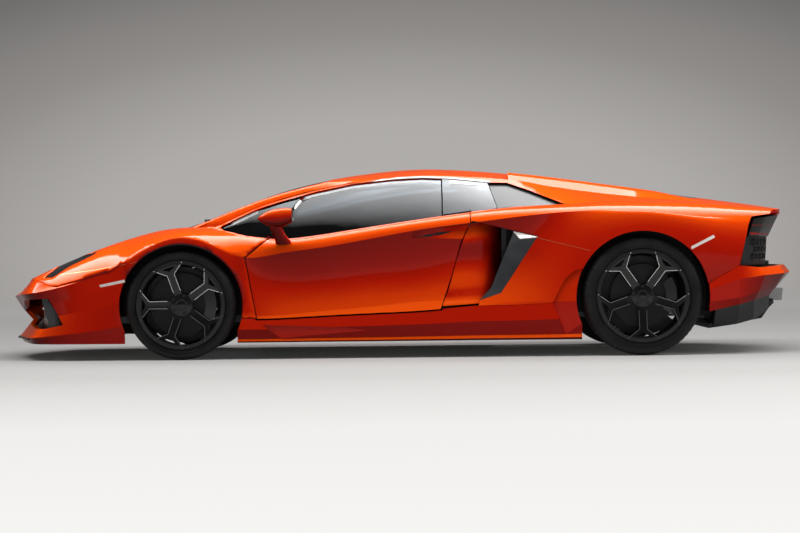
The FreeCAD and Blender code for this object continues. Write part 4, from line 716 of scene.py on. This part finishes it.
def make_side_trim():
    """Trim over the windows, grey glass edges, painted highlights on the tops of the intake blades, black strips of
    painted shade in the door slots, and painted highlights along panel seams.
    """
    flanks = skin_of(["front_wings", "rear_wings", "roof"])
    panels = skin_of(["front_wings", "front_bumper", "rear_wings"])
    window = spread(WINDOW_TOP, 0.04)
    for side, way in SIDES.items():
        shape = bmesh.new()
        draped(shape, flanks, raised(window, 0.012), raised(window, 0.001),
               WINDOW_TRIM_LIFT, WINDOW_TRIM_SHEET, side)
        piece("window_trim_" + side, shape, GLOSS_BLACK, "body")

        for name, node, body, first, last in (
                ("door", "door_glass_" + side, "door_" + side, -0.66, 0.235),
                ("sail", "fixed_side_glass", "body", -0.99, -0.80),
                ("quarter", "fixed_side_glass", "body", 0.27, 0.50)):
            pane = [(x, z) for x, z in window if first <= x <= last]
            shape = bmesh.new()
            draped(shape, skin_of([node]), raised(pane, -0.007), raised(pane, -0.027),
                   GLASS_EDGE_LIFT, GLASS_EDGE_SHEET, side)
            piece("glass_edge_%s_%s" % (name, side), shape, TRIM_GREY, body)

        # Painted highlight: a light grey plate along the top edge of each intake blade
        shape = bmesh.new()
        mirrored_plate(shape, BLADE_TOP, way, BLADE_TOP_THICKNESS)
        piece("blade_top_" + side, shape, VANE_HIGHLIGHT, "body")

        # Painted shade: a black strip laid in the door's slot, a real recess whose inside falls in shade
        shape = bmesh.new()
        draped(shape, skin_of(["door_" + side]), DOOR_SLOT_TOP, DOOR_SLOT_FOOT,
               DOOR_SLOT_LIFT, DOOR_SLOT_SHEET, side)
        piece("door_slot_" + side, shape, SATIN_BLACK, "door_" + side)

        # Painted highlights: thin bright strips along the bumper and wing seams
        for name, line in (("bumper", BUMPER_SEAM), ("wing", WING_SEAM)):
            seam = spread(line, 0.03)
            shape = bmesh.new()
            draped(shape, panels, raised(seam, SEAM_HALF_WIDTH), raised(seam, -SEAM_HALF_WIDTH),
                   SEAM_LIFT, SEAM_SHEET, side)
            piece("%s_seam_%s" % (name, side), shape, EDGE_HIGHLIGHT, "body")


WIPER_LINE = [(-1.235, 0.30), (-1.215, 0.12), (-1.200, -0.10), (-1.180, -0.32), (-1.150, -0.46)]
WIPER_SECTION = [(0.009, 0, 0.006), (-0.009, 0, 0.006), (-0.006, 0, -0.009), (0.006, 0, -0.009)]
WIPER_HEIGHT = 0.010


def make_wiper():
    """Single wiper laid along the foot of the windscreen."""
    tops = skin_of(["windscreen", "cowl"])
    shape = bmesh.new()
    bar(shape, [(x, y, height_on(tops, x, y) + WIPER_HEIGHT) for x, y in WIPER_LINE], WIPER_SECTION)
    piece("wiper_arm", shape, SATIN_BLACK, "body")


# Tail lamp from its side to its inner end: x and y of its top and foot lines, and their heights
TAIL_LAMP_TOP = [(2.246, 0.640), (2.150, 0.760), (2.072, 0.834)]
TAIL_LAMP_FOOT = [(2.184, 0.640), (2.108, 0.775), (2.036, 0.858)]
TAIL_LAMP_FOOT_Z = 0.690
TAIL_LAMP_TOP_Z = 0.820
TAIL_LAMP_SLOPE = 0.02
# How far the guides stand off the lamp, and the two guides: share of the lamp's height, and their own height
GUIDE_OUT_X, GUIDE_OUT_Y = 0.0148, 0.0090
GUIDES = ((0.08, 0.012), (0.50, 0.005))


def make_tail_light_guides():
    """Two red light guides across each tail lamp, drawn in a little at both ends."""
    for side, way in SIDES.items():
        shape = bmesh.new()
        for share, tall in GUIDES:
            points = []
            for (xt, yt), (xf, yf) in zip(TAIL_LAMP_TOP, TAIL_LAMP_FOOT):
                z_top = TAIL_LAMP_TOP_Z - TAIL_LAMP_SLOPE * (yt - TAIL_LAMP_TOP[0][1])
                points.append((xf + (xt - xf) * share + GUIDE_OUT_X, way * (yf + (yt - yf) * share + GUIDE_OUT_Y),
                               TAIL_LAMP_FOOT_Z + (z_top - TAIL_LAMP_FOOT_Z) * share))
            points[0] = tuple(Vector(points[0]).lerp(Vector(points[1]), 0.06))
            points[-1] = tuple(Vector(points[-1]).lerp(Vector(points[1]), 0.12))
            bar(shape, points, [(0.001, 0, 0), (0.001, 0, tall), (-0.004, 0, tall), (-0.004, 0, 0)])
        piece("tail_light_guides_" + side, shape, RED_STRIP, "body")


SPLITTER_EDGE = [(-2.198, 0.770), (-2.284, 0.450), (-2.336, 0.260), (-2.360, 0.0), (-2.336, -0.260),
                 (-2.284, -0.450), (-2.198, -0.770)]
SPLITTER_HEIGHT = 0.118
SPLITTER_SECTION = [(0.012, 0, 0.012), (0.012, 0, 0), (-0.010, 0, 0.002), (-0.008, 0, 0.012)]


def make_splitter_lip():
    """Black lip along the edge of the front splitter."""
    shape = bmesh.new()
    bar(shape, [(x, y, SPLITTER_HEIGHT) for x, y in SPLITTER_EDGE], SPLITTER_SECTION)
    piece("splitter_lip", shape, SATIN_BLACK, "body")


# Seats

SEAT_MIDDLE = 0.400
SEAT_HALF_WIDTH = 0.196
CUSHION_HALF_LENGTH = 0.285
CUSHION_BACKWARD = -0.045
CUSHION_HEIGHT = 0.268
BACK_FOOT_X, BACK_FOOT_Z = 0.150, 0.275
BACK_LEAN, BACK_RISE = 0.205, 0.560
# Swelling: Cloth frames and pressure, size of the mesh, and how far a point may move
SEAT_FRAMES = 20
SEAT_PRESSURE = 4.0
SEAT_VOXEL = 0.009
SWELL_LIMIT = 0.022
# Sewn channels: side seams out from the seat's middle, cross seams this far apart, their width and depth
SIDE_SEAM = 0.115
CROSS_SEAMS = 0.11
SEAM_WIDTH = 0.006
SEAM_DEPTH = 0.006


def seat_form(kind, way):
    """Plain closed form of a seat's cushion or back, with raised bolsters, inside the space of the CAD seat."""
    shape = bmesh.new()
    bmesh.ops.create_cube(shape, size=1.0)
    bmesh.ops.subdivide_edges(shape, edges=shape.edges[:], cuts=9, use_grid_fill=True)
    for vert in shape.verts:
        u, v, w = vert.co.x * 2, vert.co.y * 2, vert.co.z * 2
        bolster = abs(v) ** 3
        if kind == "cushion":
            # 110 mm thick in the middle and 170 mm at the bolsters, falling towards the back
            x = CUSHION_BACKWARD + CUSHION_HALF_LENGTH * u - 0.03 * bolster * (u > 0)
            thick = 0.055 + 0.030 * bolster
            top = CUSHION_HEIGHT - 0.028 * u + 0.035 * bolster - 0.03 * (u < -0.8)
            vert.co = (x, way * (SEAT_MIDDLE + SEAT_HALF_WIDTH * v), top - thick + thick * w)
        else:
            # 84 mm thick at the foot, thinner and narrower towards the head
            up = (u + 1) / 2
            across = SEAT_HALF_WIDTH - 0.05 * max(0.0, up - 0.62) / 0.38
            deep = 0.042 + 0.020 * bolster - 0.012 * up
            vert.co = (BACK_FOOT_X + BACK_LEAN * up - deep * w - 0.018 * bolster,
                       way * (SEAT_MIDDLE + across * v), BACK_FOOT_Z + BACK_RISE * up)
    return shape


def apply_modifiers(made):
    """Puts what the modifiers make into the mesh and removes them."""
    graph = bpy.context.evaluated_depsgraph_get()
    mesh = bpy.data.meshes.new_from_object(made.evaluated_get(graph))
    made.modifiers.clear()
    old = made.data
    made.data = mesh
    bpy.data.meshes.remove(old)


def swell(made):
    """Fills a form like stuffed leather, each point moving no further than the limit."""
    remesh = made.modifiers.new("remesh", "REMESH")
    remesh.mode = "VOXEL"
    remesh.voxel_size = SEAT_VOXEL
    apply_modifiers(made)
    before = [v.co.copy() for v in made.data.vertices]
    cloth = made.modifiers.new("cloth", "CLOTH")
    cloth.settings.use_pressure = True
    cloth.settings.uniform_pressure_force = SEAT_PRESSURE
    cloth.settings.effector_weights.gravity = 0.0
    cloth.point_cache.frame_start = 1
    cloth.point_cache.frame_end = SEAT_FRAMES
    scene = bpy.context.scene
    for frame_number in range(1, SEAT_FRAMES + 1):
        scene.frame_set(frame_number)
    apply_modifiers(made)
    scene.frame_set(1)
    for vert, start in zip(made.data.vertices, before):
        step = vert.co - start
        if step.length > SWELL_LIMIT:
            vert.co = start + step.normalized() * SWELL_LIMIT


def padded_piece(name, kind, side):
    """Upholstered piece: its form swells like stuffed leather, then gets sewn channels."""
    shape = seat_form(kind, SIDES[side])
    bmesh.ops.recalc_face_normals(shape, faces=shape.faces[:])
    mesh = bpy.data.meshes.new(name)
    shape.to_mesh(mesh)
    shape.free()
    made = bpy.data.objects.new(name, mesh)
    bpy.context.scene.collection.objects.link(made)
    swell(made)
    for vert in made.data.vertices:
        across = abs(abs(vert.co.y) - SEAT_MIDDLE)
        along = (vert.co.x + 0.33) if kind == "cushion" else (vert.co.z - BACK_FOOT_Z)
        cross = abs((along + 0.05) % CROSS_SEAMS - CROSS_SEAMS / 2) + (0.03 if across > SIDE_SEAM else 0.0)
        seam = min(abs(across - SIDE_SEAM), cross)
        vert.co -= vert.normal * SEAM_DEPTH * math.exp(-(seam / SEAM_WIDTH) ** 2)
    smooth = made.modifiers.new("smooth", "SUBSURF")
    smooth.levels = smooth.render_levels = 1
    for polygon in made.data.polygons:
        polygon.use_smooth = True
    made.data.materials.append(LEATHER)
    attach(made, "body")
    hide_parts("seats")


def make_seats():
    """Cushion and back of both seats."""
    for side in SIDES:
        for kind in ("cushion", "back"):
            padded_piece("seat_%s_%s" % (kind, side), kind, side)


# Studio

def seen_rays(tree):
    """One for rays from the camera, off gloss or through glass, which show the studio's own colours, else zero."""
    path = add_node(tree, "ShaderNodeLightPath")
    seen = path.outputs["Is Camera Ray"]
    for kind in ("Is Glossy Ray", "Is Transmission Ray"):
        seen = add_node(tree, "ShaderNodeMath", {"operation": "MAXIMUM"},
                        {0: seen, 1: path.outputs[kind]}).outputs[0]
    return seen


FLOOR_RADIUS = 60
# Glow of the floor from 10 m in front of the car, at 0, to 12 m behind it, at 1
FLOOR_GLOW = [(0.0, "e9e8e6"), (0.09, "dddcda"), (0.155, "d0cfcd"), (0.227, "aeadab"), (0.318, "686866"),
              (0.40, "343433"), (0.51, "141414"), (0.58, "303030"), (0.66, "545352"), (0.80, "7e7c7a"),
              (1.0, "949290")]


def make_floor():
    """Pale painted studio floor that fades into the backdrop behind the car."""
    mesh = bpy.data.meshes.new("studio_floor")
    shape = bmesh.new()
    bmesh.ops.create_circle(shape, cap_ends=True, segments=96, radius=FLOOR_RADIUS)
    shape.to_mesh(mesh)
    shape.free()
    floor = bpy.data.objects.new("studio_floor", mesh)
    bpy.context.scene.collection.objects.link(floor)
    material, tree, output = new_material("white_painted_floor")
    coords = add_node(tree, "ShaderNodeTexCoord")
    split = add_node(tree, "ShaderNodeSeparateXYZ", None, {"Vector": coords.outputs["Object"]})
    paint = add_node(tree, "ShaderNodeBsdfDiffuse", {"Color": linear("b6b5b3")})
    along = add_node(tree, "ShaderNodeMapRange", {"From Min": -10.0, "From Max": 12.0},
                     {"Value": split.outputs["Y"]})
    glow = add_node(tree, "ShaderNodeValToRGB", {"stops": FLOOR_GLOW}, {"Fac": along.outputs["Result"]})
    lift = add_node(tree, "ShaderNodeEmission", None,
                    {"Color": glow.outputs["Color"], "Strength": seen_rays(tree)})
    both = add_node(tree, "ShaderNodeAddShader", None, {0: paint.outputs["BSDF"], 1: lift.outputs["Emission"]})
    flat = add_node(tree, "ShaderNodeVectorMath", {"operation": "LENGTH"}, {0: coords.outputs["Object"]})
    away = add_node(tree, "ShaderNodeMapRange", {"From Min": 11.0, "From Max": 24.0},
                    {"Value": flat.outputs["Value"]})
    clear = add_node(tree, "ShaderNodeBsdfTransparent")
    mix = add_node(tree, "ShaderNodeMixShader", None, {
        0: away.outputs["Result"], 1: both.outputs["Shader"], 2: clear.outputs["BSDF"]})
    tree.links.new(mix.outputs["Shader"], output)
    mesh.materials.append(material)


# Backdrop tones by distance from the glow's centre, straight behind the car; it is wider than it is high
BACKDROP = [(0.0, "b3b0ad"), (0.056, "aeaba9"), (0.070, "a4a19f"), (0.082, "9a9795"), (0.092, "8f8c8a"),
            (0.105, "868381"), (0.126, "706e6d"), (0.16, "646261"), (1.0, "5f5e5e")]
GLOW_NARROWING = (0.4255, 1.0, 1.0)
GLOW_CENTRE = (0.0, 1.0, 0.0)


def make_world():
    """Grey backdrop with a soft glow behind the car, and an even light from all round."""
    world = bpy.data.worlds.new("studio")
    bpy.context.scene.world = world
    world.use_nodes = True
    tree = world.node_tree
    tree.nodes.clear()
    output = tree.nodes.new("ShaderNodeOutputWorld")
    coords = add_node(tree, "ShaderNodeTexCoord")
    wide = add_node(tree, "ShaderNodeMapping", {"Scale": GLOW_NARROWING}, {"Vector": coords.outputs["Generated"]})
    glow = add_node(tree, "ShaderNodeVectorMath", {"operation": "DISTANCE", 1: GLOW_CENTRE},
                    {0: wide.outputs["Vector"]})
    wall = add_node(tree, "ShaderNodeValToRGB", {"stops": BACKDROP}, {"Fac": glow.outputs["Value"]})
    seen = add_node(tree, "ShaderNodeBackground", {"Strength": 1.0}, {"Color": wall.outputs["Color"]})
    lit = add_node(tree, "ShaderNodeBackground", {"Color": linear("8f8f90"), "Strength": 0.5})
    mix = add_node(tree, "ShaderNodeMixShader", None, {
        0: seen_rays(tree), 1: lit.outputs["Background"], 2: seen.outputs["Background"]})
    tree.links.new(mix.outputs["Shader"], output.inputs["Surface"])


# Lamps: name, place, the point each is aimed at, size, watts, and whether it only shows in gloss
SOFTBOXES = [
    ("highlight_box", (0, 0.05, 3.8), (0, 0.05, 0), (13.0, 2.5), 1900, True),
    ("overhead_soft_light", (0.3, -2.3, 5.2), (0.3, -1.0, 0), (11.0, 3.0), 400, False),
    ("far_soft_light", (0.3, 3.4, 5.2), (0.3, 2.2, 0), (11.0, 3.0), 200, False),
    ("rear_quarter_light", (5.5, -4.5, 2.6), (1.9, -0.8, 0.6), (2.5, 2.0), 90, False)]


def make_softbox(name, place, target, size, power, gloss_only):
    """Rectangular studio lamp. One that shows in gloss fades towards the camera's side and lights nothing else;
    the others light the car and don't show in its gloss."""
    data = bpy.data.lights.new(name, "AREA")
    data.shape = "RECTANGLE"
    data.size, data.size_y = size
    data.energy = power
    lamp = bpy.data.objects.new(name, data)
    bpy.context.scene.collection.objects.link(lamp)
    lamp.location = place
    lamp.rotation_euler = (Vector(target) - Vector(place)).to_track_quat("-Z", "Y").to_euler()
    lamp.visible_glossy = gloss_only
    lamp.visible_diffuse = not gloss_only
    lamp.visible_camera = False
    if gloss_only:
        data.use_nodes = True
        tree = data.node_tree
        tree.nodes.clear()
        output = tree.nodes.new("ShaderNodeOutputLight")
        geometry = add_node(tree, "ShaderNodeNewGeometry")
        split = add_node(tree, "ShaderNodeSeparateXYZ", None, {"Vector": geometry.outputs["Parametric"]})
        rise = add_node(tree, "ShaderNodeMapRange", {"From Min": 0.0, "From Max": 0.7},
                        {"Value": split.outputs["Y"]})
        glow = add_node(tree, "ShaderNodeEmission", None, {"Strength": rise.outputs["Result"]})
        tree.links.new(glow.outputs["Emission"], output.inputs["Surface"])


bpy.context.scene.view_settings.view_transform = "Standard"
make_camera()
make_world()
make_floor()
for softbox in SOFTBOXES:
    make_softbox(*softbox)
finish_cad_nodes()
make_wheels()
make_smooth_wings()
make_pillars()
make_deck_rails()
make_mirrors()
make_side_trim()
make_wiper()
make_tail_light_guides()
make_splitter_lip()
make_mirror_glasses()
make_seats()
